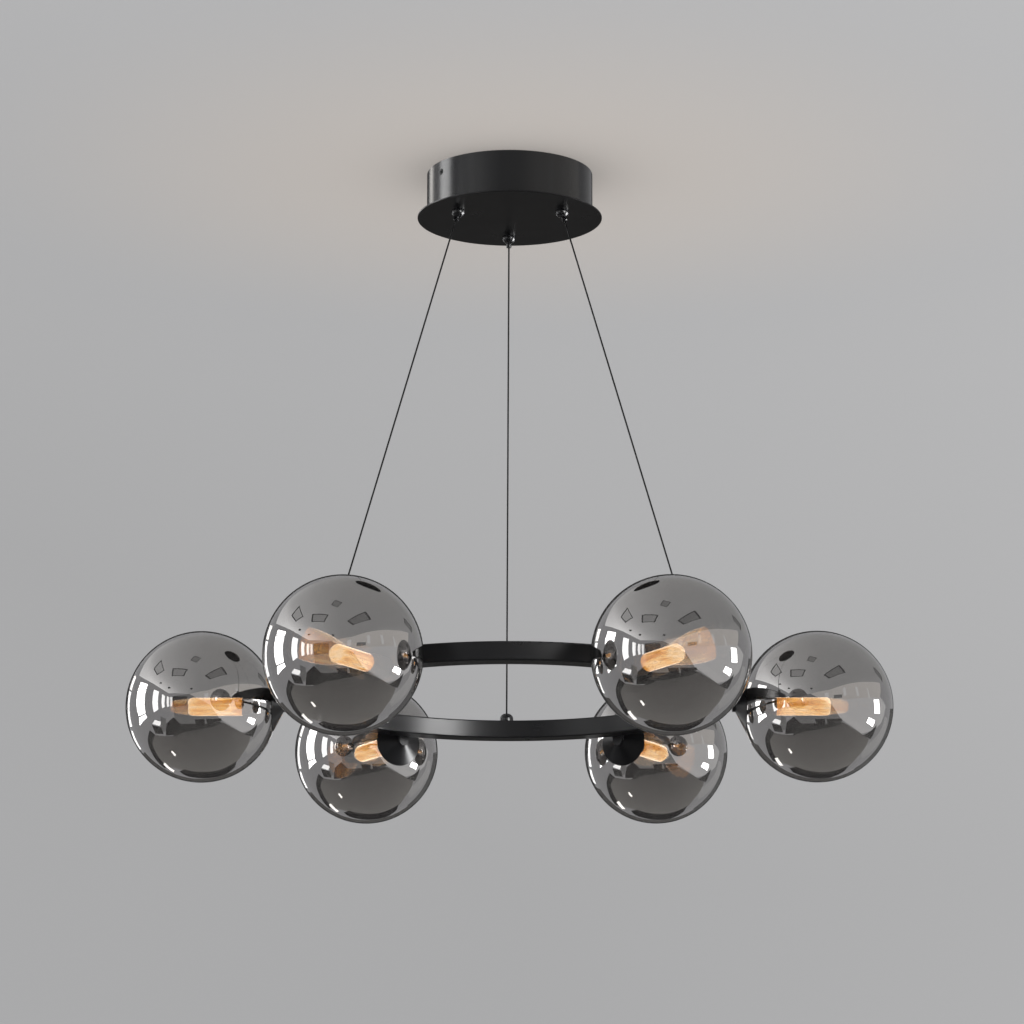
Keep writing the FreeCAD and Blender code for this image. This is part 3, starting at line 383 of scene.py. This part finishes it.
class ORB_OT_lamps(bpy.types.Operator):
    """Draw the lamp glasses with their rounded ends"""

    bl_idname = "orb.lamps"
    bl_label = "Lit lamps"

    def execute(self, context):
        sizes = context.scene.orb_sizes
        nothing_selected()
        bpy.ops.mesh.primitive_cylinder_add(
            vertices=LAMP_SIDES, radius=sizes.lamp_radius, depth=sizes.lamp_length,
            rotation=(0, math.pi / 2, 0))
        lamp = context.object
        settle(lamp)
        end = sizes.lamp_length / 2 - FACE_TOLERANCE
        bpy.ops.object.mode_set(mode="EDIT")
        bpy.ops.mesh.select_mode(type="FACE")
        select_faces(lamp, lambda middle: middle.x > end)
        bpy.ops.mesh.bevel(offset=sizes.lamp_corner, segments=LAMP_END_STEPS, affect="EDGES")
        select_faces(lamp, lambda middle: middle.x < -end)
        bpy.ops.mesh.delete(type="FACE")
        bpy.ops.mesh.select_all(action="SELECT")
        bpy.ops.mesh.normals_make_consistent(inside=False)
        bpy.ops.object.mode_set(mode="OBJECT")
        apply_modifier(lamp, "SOLIDIFY", thickness=sizes.lamp_wall, offset=-1.0)
        smooth(lamp)
        glow = context.scene.orb_colours.glow
        set_material(lamp, glowing_glass(glow, sizes.lamp_radius, sizes.lamp_length))
        middle = Vector(((FIRST_LAMP[0].x + FIRST_LAMP[1].x) / 2, 0, GLOBE_CENTRE.z))
        lamps = copies_round(lamp, "lit_glass", Matrix.Translation(middle))
        for arm, piece in zip(ARMS, lamps):
            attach(piece, "lamp_%d" % arm)
            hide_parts("lamp_glass_%d" % arm)
        return {"FINISHED"}


def sleeve_size(sleeve, up):
    """Middle, radius and length of a round solid, measured along its own axis."""
    side = up.orthogonal().normalized()
    middle = Vector()
    spans = []
    for way in (side, up.cross(side), up):
        along = [vertex.co.dot(way) for vertex in sleeve.data.vertices]
        middle += way * (min(along) + max(along)) / 2
        spans.append(max(along) - min(along))
    return middle, spans[0] / 2, spans[2]


def wind_coil(name, wire, radius, rise):
    """Coil of round wire with closed ends, wound about Z from its lowest turn up."""
    nothing_selected()
    bpy.ops.mesh.primitive_circle_add(
        vertices=WIRE_SIDES, radius=wire / 2, location=(radius - wire / 2, 0, 0),
        rotation=(math.pi / 2, 0, 0))
    coil = bpy.context.object
    coil.name = name
    bpy.context.view_layer.update()
    settle(coil)
    apply_modifier(coil, "SCREW", axis="Z", angle=math.tau, iterations=SPRING_TURNS,
                   screw_offset=rise / SPRING_TURNS, steps=STEPS_PER_TURN)
    bpy.ops.object.mode_set(mode="EDIT")
    bpy.ops.mesh.select_all(action="SELECT")
    bpy.ops.mesh.fill_holes(sides=WIRE_SIDES)
    bpy.ops.mesh.normals_make_consistent(inside=False)
    bpy.ops.object.mode_set(mode="OBJECT")
    return coil


class ORB_OT_springs(bpy.types.Operator):
    """Wind the small coil spring over each release plunger"""

    bl_idname = "orb.springs"
    bl_label = "Plunger springs"

    def execute(self, context):
        wire = context.scene.orb_sizes.spring_wire
        # bright drawn spring wire: small hard glints
        steel = grained("bright_wire", (*context.scene.orb_colours.steel, 1.0), (0.2, 0.3),
                        grain=0.00111, relief=0.05, metallic=1.0)
        # plunger_1_push presses on plunger_spring_1, and no other joint's name gives a sleeve
        for joint in frame["joints"]:
            sleeve = joint["name"].replace("plunger_", "plunger_spring_").replace("_push", "")
            if sleeve not in nodes:
                continue
            up = Vector(joint["axis"]).normalized()
            middle, radius, length = sleeve_size(nodes[sleeve], up)
            rise = length - wire
            spring = wind_coil(sleeve.replace("plunger_spring", "coil_spring"), wire, radius, rise)
            upright = up.to_track_quat("Z", "Y").to_matrix().to_4x4()
            spring.data.transform(
                Matrix.Translation(middle) @ upright @ Matrix.Translation((0, 0, -rise / 2)))
            smooth(spring)
            set_material(spring, steel)
            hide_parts(sleeve)
            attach(spring, "canopy")
            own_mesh(spring)
        return {"FINISHED"}


class ORB_OT_metalwork(bpy.types.Operator):
    """Coat the canopy, ring, arms, suspension and the pieces inside"""

    bl_idname = "orb.metalwork"
    bl_label = "Metalwork and inner pieces"

    def execute(self, context):
        colours = context.scene.orb_colours
        black = (*colours.black, 1.0)
        steel = (*colours.steel, 1.0)
        finishes = {
            # satin black powder coat: soft, even sheen on canopy plate, ring and caps
            "black_metal": grained(
                "black_satin_coat", black, (0.25, 0.32), grain=0.00111, relief=0.04, shine=0.3),
            # black plated steel: tighter glints on small turned pieces
            "black_fastener": grained(
                "black_plated", black, (0.22, 0.30), grain=0.00083, relief=0.02, shine=0.4),
            # zinc plated steel: dull grey with a soft cloud
            "zinc_steel": grained(
                "zinc_plate", steel, (0.25, 0.45), grain=0.00143, relief=0.08, metallic=1.0),
            # plain turned brass: warm and bright
            "brass_part": grained(
                "plain_brass", linear("b9934f"), (0.22, 0.4), grain=0.00125, relief=0.06, metallic=1.0),
            "steel_cable": twisted_steel(linear("0b0b0c")),
            # glazed ceramic: cream under the lamp, cooler white on the holder
            "lamp_base": grained(
                "lamp_ceramic", linear("e9dccb"), (0.3, 0.45), grain=0.002, relief=0.05),
            "holder_ceramic": grained(
                "holder_ceramic", linear("e6e2da"), (0.3, 0.5), grain=0.00167, relief=0.06),
            # moulded polyamide: off-white, faintly rough
            "block_plastic": grained(
                "terminal_plastic", linear("d9d8d2"), (0.35, 0.5), grain=0.00167, relief=0.08),
            # soft black sleeving: nearly without shine
            "lead_sleeve": grained(
                "lead_sleeve", linear("1d1d1d"), (0.5, 0.65), grain=0.00143, relief=0.1),
        }
        for part in record["subparts"]:
            finish = finishes.get(part["material_slot"])
            if finish:
                set_material(nodes[part["node"]], finish)
        # the can is sprayed glossier than the rest, so it shows narrow upright streaks of light
        gloss = grained(
            "black_gloss_coat", black, (0.19, 0.24), grain=0.00111, relief=0.03, shine=0.42)
        set_material(nodes["canopy_can"], gloss)
        # oiled black oxide: the two screws through the can show hardly any shine
        oxide = grained(
            "black_oxide", black, (0.40, 0.50), grain=0.00111, relief=0.10, shine=0.15)
        set_material(nodes["side_screws"], oxide)
        return {"FINISHED"}


# ---------------------------------------------------------------- stage

CAMERA_PLACE = Vector((0.0308, -4.0184, -1.2908))
CAMERA_PITCH = math.radians(13.147)
CAMERA_YAW = math.radians(-0.403)
CAMERA_ROLL = math.radians(0.044)
FOCAL_PIXELS, PICTURE_WIDTH, SENSOR_WIDTH = 4124.70, 1024, 36.0
# Aim at the midpoint of the two left globes, as shares right and up of the camera's forward way
BALL_AIM = (-0.058, -0.041)


def camera_axes():
    """Right, up and forward of the camera."""
    forward = Vector((math.sin(CAMERA_YAW) * math.cos(CAMERA_PITCH),
                      math.cos(CAMERA_YAW) * math.cos(CAMERA_PITCH), math.sin(CAMERA_PITCH)))
    level = Vector((math.cos(CAMERA_YAW), -math.sin(CAMERA_YAW), 0))
    lift = level.cross(forward)
    right = level * math.cos(CAMERA_ROLL) + lift * math.sin(CAMERA_ROLL)
    up = lift * math.cos(CAMERA_ROLL) - level * math.sin(CAMERA_ROLL)
    return right, up, forward


def room_direction(across, rise):
    """Way into the room that a mirror ball shows at a place inside its outline, from -1 to 1 each way."""
    right, up, forward = camera_axes()
    forward = (forward + right * BALL_AIM[0] + up * BALL_AIM[1]).normalized()
    right = forward.cross(up).normalized()
    up = right.cross(forward)
    depth = math.sqrt(max(0.0, 1 - across ** 2 - rise ** 2))
    return right * (2 * depth * across) + up * (2 * depth * rise) + forward * (1 - 2 * depth ** 2)


def arc(share, turns):
    """Corners on a circle inside the mirror ball's outline, at whole degrees up from its right side."""
    return tuple((math.cos(math.radians(turn)) * share, math.sin(math.radians(turn)) * share)
                 for turn in turns)


def only_glossy(obj):
    """Leave an object to be seen in reflections alone."""
    for flag in ("visible_camera", "visible_diffuse", "visible_transmission", "visible_volume_scatter",
                 "visible_shadow"):
        setattr(obj, flag, False)


def studio_card(name, corners, levels, distance, tint=linear("ffffff")):
    """Flat card in the studio that only polished surfaces see. Its brightness runs evenly through the
    levels from left to right or, on a floor, from near to far."""
    nothing_selected()
    bpy.ops.mesh.primitive_circle_add(vertices=len(corners), radius=1.0, fill_type="NGON")
    card = bpy.context.object
    card.name = name
    for vertex, corner in zip(card.data.vertices, corners):
        vertex.co = Vector((0, 0, GLOBE_CENTRE.z)) + room_direction(*corner) * distance
    material, tree = new_material(name)
    place = add_node(tree, "ShaderNodeTexCoord")
    split = add_node(tree, "ShaderNodeSeparateXYZ", {0: place.outputs["Generated"]})
    spread = add_node(tree, "ShaderNodeValToRGB", {"Fac": split.outputs["Y" if "floor" in name else "X"]},
                      stops=[(index / (len(levels) - 1), grey(level)) for index, level in enumerate(levels)])
    light = add_node(tree, "ShaderNodeEmission", {"Color": tint, "Strength": spread.outputs["Color"]})
    add_node(tree, "ShaderNodeOutputMaterial", {"Surface": light.outputs[0]})
    set_material(card, material)
    only_glossy(card)


# Cards of the reflected room, set out as a mirror ball at the globes' height shows them: name, levels of
# brightness, distance in metres and corners. The nearer card hides the farther one.
WARM = linear("fffbf6")
ROOM = (
    ("room_ceiling", (1.7, 1.2, 0.76, 0.55, 0.44, 0.42, 0.42, 0.45, 0.48), 400.0,
     ((-0.82, 0.40), (-0.62, 0.30), (-0.42, 0.18), (-0.17, 0.17), (0.10, 0.22), (0.36, 0.29), (0.62, 0.30),
      (0.88, 0.24), (0.93, 0.10), (0.86, 0.42), (0.62, 0.72), (0.30, 0.90), (0.0, 0.95), (-0.30, 0.90),
      (-0.60, 0.74))),
    ("room_wall_upper", (0.72, 0.80), 340.0,
     ((-0.15, 0.17), (0.10, 0.22), (0.36, 0.29), (0.62, 0.30), (0.80, 0.27), (0.78, 0.10), (0.40, 0.10),
      (0.05, 0.06))),
    ("room_wall", (0.78, 0.84), 345.0,
     ((0.0, 0.09), (0.40, 0.11), (0.78, 0.11), (0.86, 0.0), (0.80, -0.20), (0.66, -0.30), (0.53, -0.335),
      (0.24, -0.15), (0.12, 0.03))),
    ("room_back_wall", (0.22, 0.26), 350.0,
     ((-0.36, 0.14), (-0.15, 0.17), (0.0, 0.09), (0.12, 0.03), (0.24, -0.15), (0.28, -0.22), (0.0, -0.26),
      (-0.21, -0.29), (-0.33, -0.20), (-0.36, 0.0))),
    ("room_far_floor", (0.10, 0.10), 260.0,
     arc(0.985, range(218, 325, 8)) + arc(0.945, range(322, 217, -8))),
    ("room_doorway", (0.03, 0.05), 120.0, ((-0.37, 0.14), (-0.18, 0.14), (-0.18, 0.02), (-0.36, 0.0))),
    ("room_floor", (0.085, 0.14, 0.21, 0.26), 300.0,
     ((-0.60, -0.36), (-0.38, -0.376), (-0.21, -0.29), (0.0, -0.26), (0.15, -0.245), (0.28, -0.20),
      (0.547, -0.347), (0.645, -0.40), (0.60, -0.52), (0.53, -0.62), (0.45, -0.735), (0.235, -0.85),
      (0.02, -0.87), (-0.235, -0.83), (-0.34, -0.80), (-0.48, -0.76), (-0.62, -0.56), (-0.66, -0.45))),
    ("room_shade", (0.02, 0.02), 160.0,
     ((-0.36, -0.28), (-0.27, -0.22), (-0.10, -0.215), (0.02, -0.225), (0.14, -0.21), (0.24, -0.19),
      (0.27, -0.215), (0.15, -0.26), (0.0, -0.285), (-0.21, -0.32), (-0.36, -0.385))),
    ("room_skirting", (0.02, 0.02), 200.0,
     ((-0.67, -0.30), (-0.60, -0.36), (-0.64, -0.47), (-0.60, -0.58), (-0.46, -0.77), (-0.49, -0.80),
      (-0.65, -0.60), (-0.70, -0.45))),
    ("room_far_strip", (0.0, 0.01), 200.0,
     ((-0.30, -0.842), (-0.236, -0.812), (0.02, -0.852), (0.234, -0.828), (0.447, -0.722), (0.424, -0.800),
      (0.298, -0.895), (0.047, -0.940), (-0.204, -0.905))),
    ("room_side_light", (0.52, 0.60), 200.0,
     ((0.575, -0.575), (0.62, -0.48), (0.73, -0.38), (0.81, -0.27), (0.85, -0.12), (0.89, -0.14),
      (0.86, -0.33), (0.75, -0.50), (0.60, -0.63))),
    ("room_side_dark", (0.04, 0.06), 150.0, ((0.55, -0.36), (0.66, -0.30), (0.74, -0.22), (0.67, -0.40))),
    ("room_right_dark", (0.12, 0.12), 190.0,
     arc(0.992, range(-52, -1, 10)) + arc(0.93, range(-2, -53, -10))),
    ("rail_near", (0.04, 0.06), 180.0,
     ((-0.93, 0.37), (-0.91, 0.36), (-0.965, 0.0), (-0.91, -0.37), (-0.80, -0.58), (-0.82, -0.60),
      (-0.94, -0.37), (-0.985, 0.0))),
    ("window_edge_upper", (3.2, 3.2), 30.0,
     ((-0.885, 0.39), (-0.862, 0.37), (-0.915, 0.20), (-0.940, 0.215))),
    ("window_edge", (3.2, 3.2), 30.0,
     ((-0.945, 0.19), (-0.920, 0.18), (-0.940, 0.04), (-0.935, -0.10), (-0.905, -0.25), (-0.930, -0.26),
      (-0.958, -0.10), (-0.962, 0.04))),
    ("window_edge_low", (3.0, 2.4), 30.0,
     ((-0.920, -0.30), (-0.900, -0.31), (-0.80, -0.53), (-0.82, -0.55))),
    ("floor_glint_far", (3.0, 3.0), 30.0,
     ((-0.49, -0.715), (-0.37, -0.825), (-0.39, -0.845), (-0.51, -0.74))),
    ("floor_glint", (3.5, 3.5), 30.0, ((-0.40, -0.575), (-0.38, -0.57), (-0.335, -0.62), (-0.35, -0.64))),
    ("window_low_right", (12.0, 12.0), 30.0,
     ((0.595, -0.195), (0.625, -0.135), (0.71, -0.17), (0.68, -0.245))),
    ("window_right", (7.0, 7.0), 30.0, ((0.69, 0.085), (0.76, 0.08), (0.775, -0.09), (0.70, -0.085))),
    ("window_2", (3.6, 3.0), 30.0,
     ((-0.615, 0.225), (-0.55, 0.20), (-0.565, 0.04), (-0.558, -0.03), (-0.615, -0.07), (-0.635, 0.03),
      (-0.632, 0.13))),
    ("window_3", (3.4, 2.4), 30.0,
     ((-0.51, 0.165), (-0.472, 0.145), (-0.478, 0.06), (-0.476, 0.0), (-0.508, -0.015), (-0.515, 0.05))),
    ("window_4", (3.0, 2.0), 30.0,
     ((-0.445, 0.14), (-0.415, 0.13), (-0.420, 0.07), (-0.417, 0.01), (-0.442, 0.0), (-0.450, 0.055))),
    ("window_5", (2.4, 1.8), 30.0, ((-0.402, 0.135), (-0.375, 0.125), (-0.378, 0.02), (-0.398, 0.0))),
    ("plinth_top", (2.6, 2.6), 29.0, ((-0.635, -0.215), (-0.60, -0.165), (-0.52, -0.19), (-0.54, -0.245))),
    ("plinth_side", (0.20, 0.26), 29.0,
     ((-0.53, -0.12), (-0.46, -0.15), (-0.44, -0.30), (-0.50, -0.33), (-0.52, -0.25))),
    ("plinth_shade", (0.02, 0.02), 29.2, ((-0.64, -0.23), (-0.52, -0.26), (-0.49, -0.35), (-0.60, -0.34))),
    ("cabinet", (0.0, 0.0), 29.1,
     ((-0.45, -0.21), (-0.36, -0.13), (-0.27, -0.22), (-0.36, -0.36), (-0.46, -0.37))),
    ("chair", (0.0, 0.0), 29.0, ((-0.09, -0.16), (0.04, -0.155), (0.05, -0.24), (-0.06, -0.25))),
    ("pilaster_1", (0.95, 0.95), 29.0, ((0.04, 0.175), (0.09, 0.185), (0.09, 0.115), (0.045, 0.105))),
    ("pilaster_2", (0.95, 0.95), 29.0, ((0.28, 0.235), (0.315, 0.24), (0.325, 0.14), (0.29, 0.14))),
    ("pilaster_3", (0.95, 0.95), 29.0, ((0.445, 0.245), (0.475, 0.245), (0.495, 0.13), (0.465, 0.13))),
    ("pilaster_4", (0.95, 0.95), 29.0, ((0.60, 0.225), (0.615, 0.225), (0.645, 0.10), (0.62, 0.10))),
    ("sofa", (0.22, 0.22), 29.0, ((0.155, 0.15), (0.27, 0.155), (0.265, 0.115), (0.155, 0.105))),
    ("table", (0.0, 0.0), 29.0, ((0.06, -0.155), (0.26, -0.15), (0.27, -0.18), (0.17, -0.20), (0.09, -0.26))),
    ("far_backdrop", (0.05, 0.05), 28.0, arc(0.979, range(0, 360, 12))),
)
# The great window's three panes and its bars
PANE_LEVEL, BAR_LEVEL = 7.5, 1.9
PANES = (
    ((-0.793, 0.318), (-0.700, 0.290), (-0.716, 0.235), (-0.815, 0.250)),
    ((-0.822, 0.240), (-0.720, 0.228), (-0.740, 0.120), (-0.738, 0.000), (-0.728, -0.080), (-0.815, -0.120),
     (-0.842, 0.000), (-0.842, 0.120)),
    ((-0.810, -0.140), (-0.724, -0.095), (-0.705, -0.135), (-0.800, -0.240)),
)
PANE_BARS = (
    ((-0.790, 0.225), (-0.782, 0.225), (-0.800, 0.060), (-0.808, 0.060)),
    ((-0.835, 0.050), (-0.745, 0.050), (-0.745, 0.040), (-0.835, 0.038)),
)
# Panels in the ceiling with their levels, a dark frame round each, and small dark spots
CEILING_PANELS = (
    (0.62, ((-0.63, 0.49), (-0.53, 0.61), (-0.485, 0.47), (-0.58, 0.41))),
    (0.40, ((-0.38, 0.50), (-0.18, 0.49), (-0.23, 0.40), (-0.39, 0.40))),
    (0.26, ((-0.10, 0.67), (-0.01, 0.64), (-0.07, 0.58), (-0.15, 0.61))),
    (0.23, ((0.27, 0.53), (0.34, 0.43), (0.11, 0.36), (0.04, 0.41))),
    (0.24, ((0.74, 0.46), (0.84, 0.34), (0.84, 0.27), (0.75, 0.39))),
)
FRAME_SHARE, FRAME_LEVEL = 0.18, 0.05
CEILING_SPOTS = ((-0.53, 0.31), (-0.42, 0.25), (-0.13, 0.24))
SPOT_WIDTH, SPOT_HEIGHT, SPOT_LEVEL = 0.018, 0.012, 0.04
# Corners of a spot, by their turns in radians
SPOT_TURNS = (0.5, 1.6, 2.6, 3.7, 4.7, 5.8)
# Window and panel cards stand at one distance, and what lies on them stands just before it
CARD_DISTANCE, OVERLAY_DISTANCE = 30.0, 29.5

# Wall and ceiling are one bent sheet, whose ceiling clears the canopy's top by half a millimetre
CEILING_WIDTH, CEILING_DEPTH = 12.0, 8.0
CEILING_MIDDLE = Vector((0, -2.0, 0.0005))
WALL_HEIGHT = 5.0
COVE_RADIUS, COVE_STEPS, COVE_ANGLE = 1.2, 24, 60
FLOOR_SIDE = 8.0
FLOOR_MIDDLE = Vector((0, -1.5, -2.4))
FLOOR_COLOUR = "d8d8d6"

# Lamps of the studio: name, place, side in metres, power in watts, the place they are aimed at, and
# whether they light all the black metal. The others leave out the canopy and all caps but the far left
# one, which alone catches their light in the photograph.
SIDE_LIT_CAP = "cap_3"
LIGHTS = (
    ("key", (-2.2, -2.6, -0.2), 1.6, 7.0, (0, 0, -0.4), True),
    ("side", (1.86, -2.0, 0.02), 1.3, 104.0, (-0.08, 0.18, -0.54), False),
    ("low side", (2.75, 0.7, -1.0), 1.6, 190.0, (-0.11, 0.19, -0.55), False),
)


def backdrop_material(colour):
    """Matt painted plaster, seen from its front only. Its colour holds painted light: it gets a little lighter
    overhead, towards the camera and to the right, and a painted warm glow lies round the canopy. A share of it
    glows evenly, so no corner turns dark."""
    material, tree = new_material("pale_wall")
    place = add_node(tree, "ShaderNodeTexCoord").outputs["Object"]
    split = add_node(tree, "ShaderNodeSeparateXYZ", {0: place}).outputs
    # painted light: the wall's colour lightens overhead, towards the camera and to the right
    lift = add_node(tree, "ShaderNodeMath", {0: split["Y"], 1: -0.5, 2: split["Z"]}, operation="MULTIPLY_ADD")
    rise = add_node(tree, "ShaderNodeMapRange", {
        "Value": lift.outputs[0], "From Min": -1.35, "From Max": 0.25, "To Max": 0.78})
    across = add_node(tree, "ShaderNodeMath", {0: split["X"], 1: 0.45, 2: rise.outputs["Result"]},
                      operation="MULTIPLY_ADD")
    tone = add_node(tree, "ShaderNodeValToRGB", {"Fac": across.outputs[0]}, stops=(
        (0.0, shaded(colour, 0.90)), (1.0, shaded(colour, 1.12))))
    # painted warm glow on the ceiling round the canopy
    reach = add_node(tree, "ShaderNodeVectorMath", {0: place}, operation="LENGTH")
    painted_warm_glow = add_node(tree, "ShaderNodeMapRange", {
        "Value": reach.outputs["Value"], "From Min": 0.62, "From Max": 0.08}, interpolation_type="SMOOTHSTEP")
    colour_with_painted_light = add_node(tree, "ShaderNodeMix", {
        MIX_SHARE: painted_warm_glow.outputs["Result"], MIX_FIRST: tone.outputs["Color"],
        MIX_SECOND: (1.17, 1.09, 1.01, 1.0)}, data_type="RGBA", blend_type="MULTIPLY")
    paint = add_node(tree, "ShaderNodeBsdfDiffuse", {"Color": colour_with_painted_light.outputs[MIX_RESULT]})
    glow = add_node(tree, "ShaderNodeEmission", {"Color": colour_with_painted_light.outputs[MIX_RESULT]})
    front = add_node(tree, "ShaderNodeMixShader", {0: 0.4, 1: paint.outputs[0], 2: glow.outputs[0]})
    back = add_node(tree, "ShaderNodeBsdfTransparent")
    facing = add_node(tree, "ShaderNodeNewGeometry")
    wall = add_node(tree, "ShaderNodeMixShader", {
        0: facing.outputs["Backfacing"], 1: front.outputs[0], 2: back.outputs[0]})
    add_node(tree, "ShaderNodeOutputMaterial", {"Surface": wall.outputs[0]})
    return material


def studio_world(colour):
    """Even white light for the surfaces, the backdrop's colour for camera and glass, a dim room for
    reflections."""
    world = bpy.data.worlds.new("studio")
    bpy.context.scene.world = world
    world.use_nodes = True
    tree = world.node_tree
    tree.nodes.clear()
    path = add_node(tree, "ShaderNodeLightPath").outputs
    through = add_node(tree, "ShaderNodeMath", {
        0: path["Is Camera Ray"], 1: path["Is Transmission Ray"]}, operation="MAXIMUM")
    even = add_node(tree, "ShaderNodeBackground", {"Color": linear("ffffff")})
    seen = add_node(tree, "ShaderNodeBackground", {"Color": (*colour, 1.0)})
    room = add_node(tree, "ShaderNodeBackground", {"Color": linear("b1b1b3")})
    direct = add_node(tree, "ShaderNodeMixShader", {
        0: through.outputs[0], 1: even.outputs[0], 2: seen.outputs[0]})
    mirrored = add_node(tree, "ShaderNodeMixShader", {
        0: path["Is Glossy Ray"], 1: direct.outputs[0], 2: room.outputs[0]})
    add_node(tree, "ShaderNodeOutputWorld", {"Surface": mirrored.outputs[0]})


def level_plane(name, width, depth, middle):
    """Level rectangle with its place in its mesh."""
    nothing_selected()
    bpy.ops.mesh.primitive_plane_add(size=1.0)
    plane = bpy.context.object
    plane.name = name
    plane.scale = (width, depth, 1.0)
    plane.location = middle
    bpy.context.view_layer.update()
    settle(plane)
    return plane


def set_backdrop(plane, colour):
    """Paint a plane as backdrop, unseen in reflections and by the light on the object."""
    set_material(plane, backdrop_material(colour))
    plane.visible_glossy = False
    plane.visible_diffuse = False


class ORB_OT_stage(bpy.types.Operator):
    """Set the wall, ceiling, floor, reflected room, lights and camera"""

    bl_idname = "orb.stage"
    bl_label = "Studio and camera"

    def execute(self, context):
        colours = context.scene.orb_colours
        self.walls(colours.backdrop)
        self.room()
        self.lights(context)
        self.camera(context)
        studio_world(colours.backdrop)
        context.scene.view_settings.view_transform = "Standard"
        return {"FINISHED"}

    def walls(self, colour):
        """Wall and ceiling as one sheet bent at the far edge, and a floor below the picture"""
        cove = level_plane("wall_and_ceiling", CEILING_WIDTH, CEILING_DEPTH, CEILING_MIDDLE)
        bpy.ops.object.mode_set(mode="EDIT")
        bpy.ops.mesh.select_all(action="SELECT")
        bpy.ops.mesh.flip_normals()
        bpy.ops.mesh.select_mode(type="EDGE")
        bpy.ops.mesh.select_all(action="DESELECT")
        bpy.ops.object.mode_set(mode="OBJECT")
        far_edge = CEILING_MIDDLE.y + CEILING_DEPTH / 2 - FACE_TOLERANCE
        for edge in cove.data.edges:
            edge.select = all(cove.data.vertices[index].co.y > far_edge for index in edge.vertices)
        bpy.ops.object.mode_set(mode="EDIT")
        bpy.ops.mesh.extrude_region_move(TRANSFORM_OT_translate={"value": (0, 0, -WALL_HEIGHT)})
        bpy.ops.object.mode_set(mode="OBJECT")
        apply_modifier(cove, "BEVEL", width=COVE_RADIUS, segments=COVE_STEPS, limit_method="ANGLE")
        smooth(cove, COVE_ANGLE)
        set_backdrop(cove, colour)
        set_backdrop(level_plane("floor", FLOOR_SIDE, FLOOR_SIDE, FLOOR_MIDDLE), linear(FLOOR_COLOUR)[:3])

    def room(self):
        """Cards of the reflected room"""
        for name, levels, distance, corners in ROOM:
            # the floors, the upper wall and the window's upper edge are the warmer ones
            tint = WARM if "floor" in name or "upper" in name else linear("ffffff")
            studio_card(name, corners, levels, distance, tint)
        for corners in PANES:
            studio_card("window_1", corners, (PANE_LEVEL, PANE_LEVEL), CARD_DISTANCE)
        for corners in PANE_BARS:
            studio_card("window_bar", corners, (BAR_LEVEL, BAR_LEVEL), OVERLAY_DISTANCE)
        for level, corners in CEILING_PANELS:
            middle = sum((Vector(corner) for corner in corners), Vector((0, 0))) / len(corners)
            inner = [tuple(Vector(corner).lerp(middle, FRAME_SHARE)) for corner in corners]
            studio_card("panel_frame", corners, (FRAME_LEVEL, FRAME_LEVEL), CARD_DISTANCE)
            studio_card("panel", inner, (level, level), OVERLAY_DISTANCE)
        for across, rise in CEILING_SPOTS:
            spot = [(across + SPOT_WIDTH * math.cos(turn), rise + SPOT_HEIGHT * math.sin(turn))
                    for turn in SPOT_TURNS]
            studio_card("ceiling_spot", spot, (SPOT_LEVEL, SPOT_LEVEL), OVERLAY_DISTANCE)

    def lights(self, context):
        """Area lamps that light the black metal alone"""
        metal = bpy.data.collections.new("metalwork")
        side_lit = bpy.data.collections.new("side_lit_metalwork")
        for part in record["subparts"]:
            node = part["node"]
            if part["material_slot"].startswith("black_"):
                metal.objects.link(nodes[node])
                if node == SIDE_LIT_CAP or not node.startswith(("canopy", "cap_")):
                    side_lit.objects.link(nodes[node])
        for name, place, side, power, aim, on_all in LIGHTS:
            data = bpy.data.lights.new(name, "AREA")
            data.shape = "SQUARE"
            data.size = side
            data.energy = power
            lamp = bpy.data.objects.new(name, data)
            lamp.location = place
            lamp.rotation_euler = (Vector(aim) - Vector(place)).to_track_quat("-Z", "Y").to_euler()
            context.scene.collection.objects.link(lamp)
            lamp.light_linking.receiver_collection = metal if on_all else side_lit

    def camera(self, context):
        """The photograph's camera"""
        right, up, forward = camera_axes()
        data = bpy.data.cameras.new("photo_camera")
        data.sensor_width = SENSOR_WIDTH
        data.lens = FOCAL_PIXELS / PICTURE_WIDTH * SENSOR_WIDTH
        data.clip_start = 0.05
        data.clip_end = 200.0
        camera = bpy.data.objects.new("photo_camera", data)
        camera.matrix_world = Matrix((
            (right.x, up.x, -forward.x, CAMERA_PLACE.x),
            (right.y, up.y, -forward.y, CAMERA_PLACE.y),
            (right.z, up.z, -forward.z, CAMERA_PLACE.z),
            (0, 0, 0, 1)))
        context.scene.collection.objects.link(camera)
        context.scene.camera = camera


class ORB_PT_panel(bpy.types.Panel):
    """The chandelier's build steps"""

    bl_label = "Orb chandelier"
    bl_space_type = "VIEW_3D"
    bl_region_type = "UI"
    bl_category = "Orb"

    def draw(self, context):
        for step in STEPS:
            self.layout.operator(step.bl_idname)


STEPS = (ORB_OT_globes, ORB_OT_lamps, ORB_OT_springs, ORB_OT_metalwork, ORB_OT_stage)
CLASSES = (OrbSizes, OrbColours, *STEPS, ORB_PT_panel)


def register():
    for each in CLASSES:
        bpy.utils.register_class(each)
    bpy.types.Scene.orb_sizes = bpy.props.PointerProperty(type=OrbSizes)
    bpy.types.Scene.orb_colours = bpy.props.PointerProperty(type=OrbColours)


def unregister():
    del bpy.types.Scene.orb_sizes
    del bpy.types.Scene.orb_colours
    for each in reversed(CLASSES):
        bpy.utils.unregister_class(each)


def main():
    register()
    bpy.ops.orb.globes()
    bpy.ops.orb.lamps()
    bpy.ops.orb.springs()
    bpy.ops.orb.metalwork()
    bpy.ops.orb.stage()


if __name__ == "__main__":
    main()
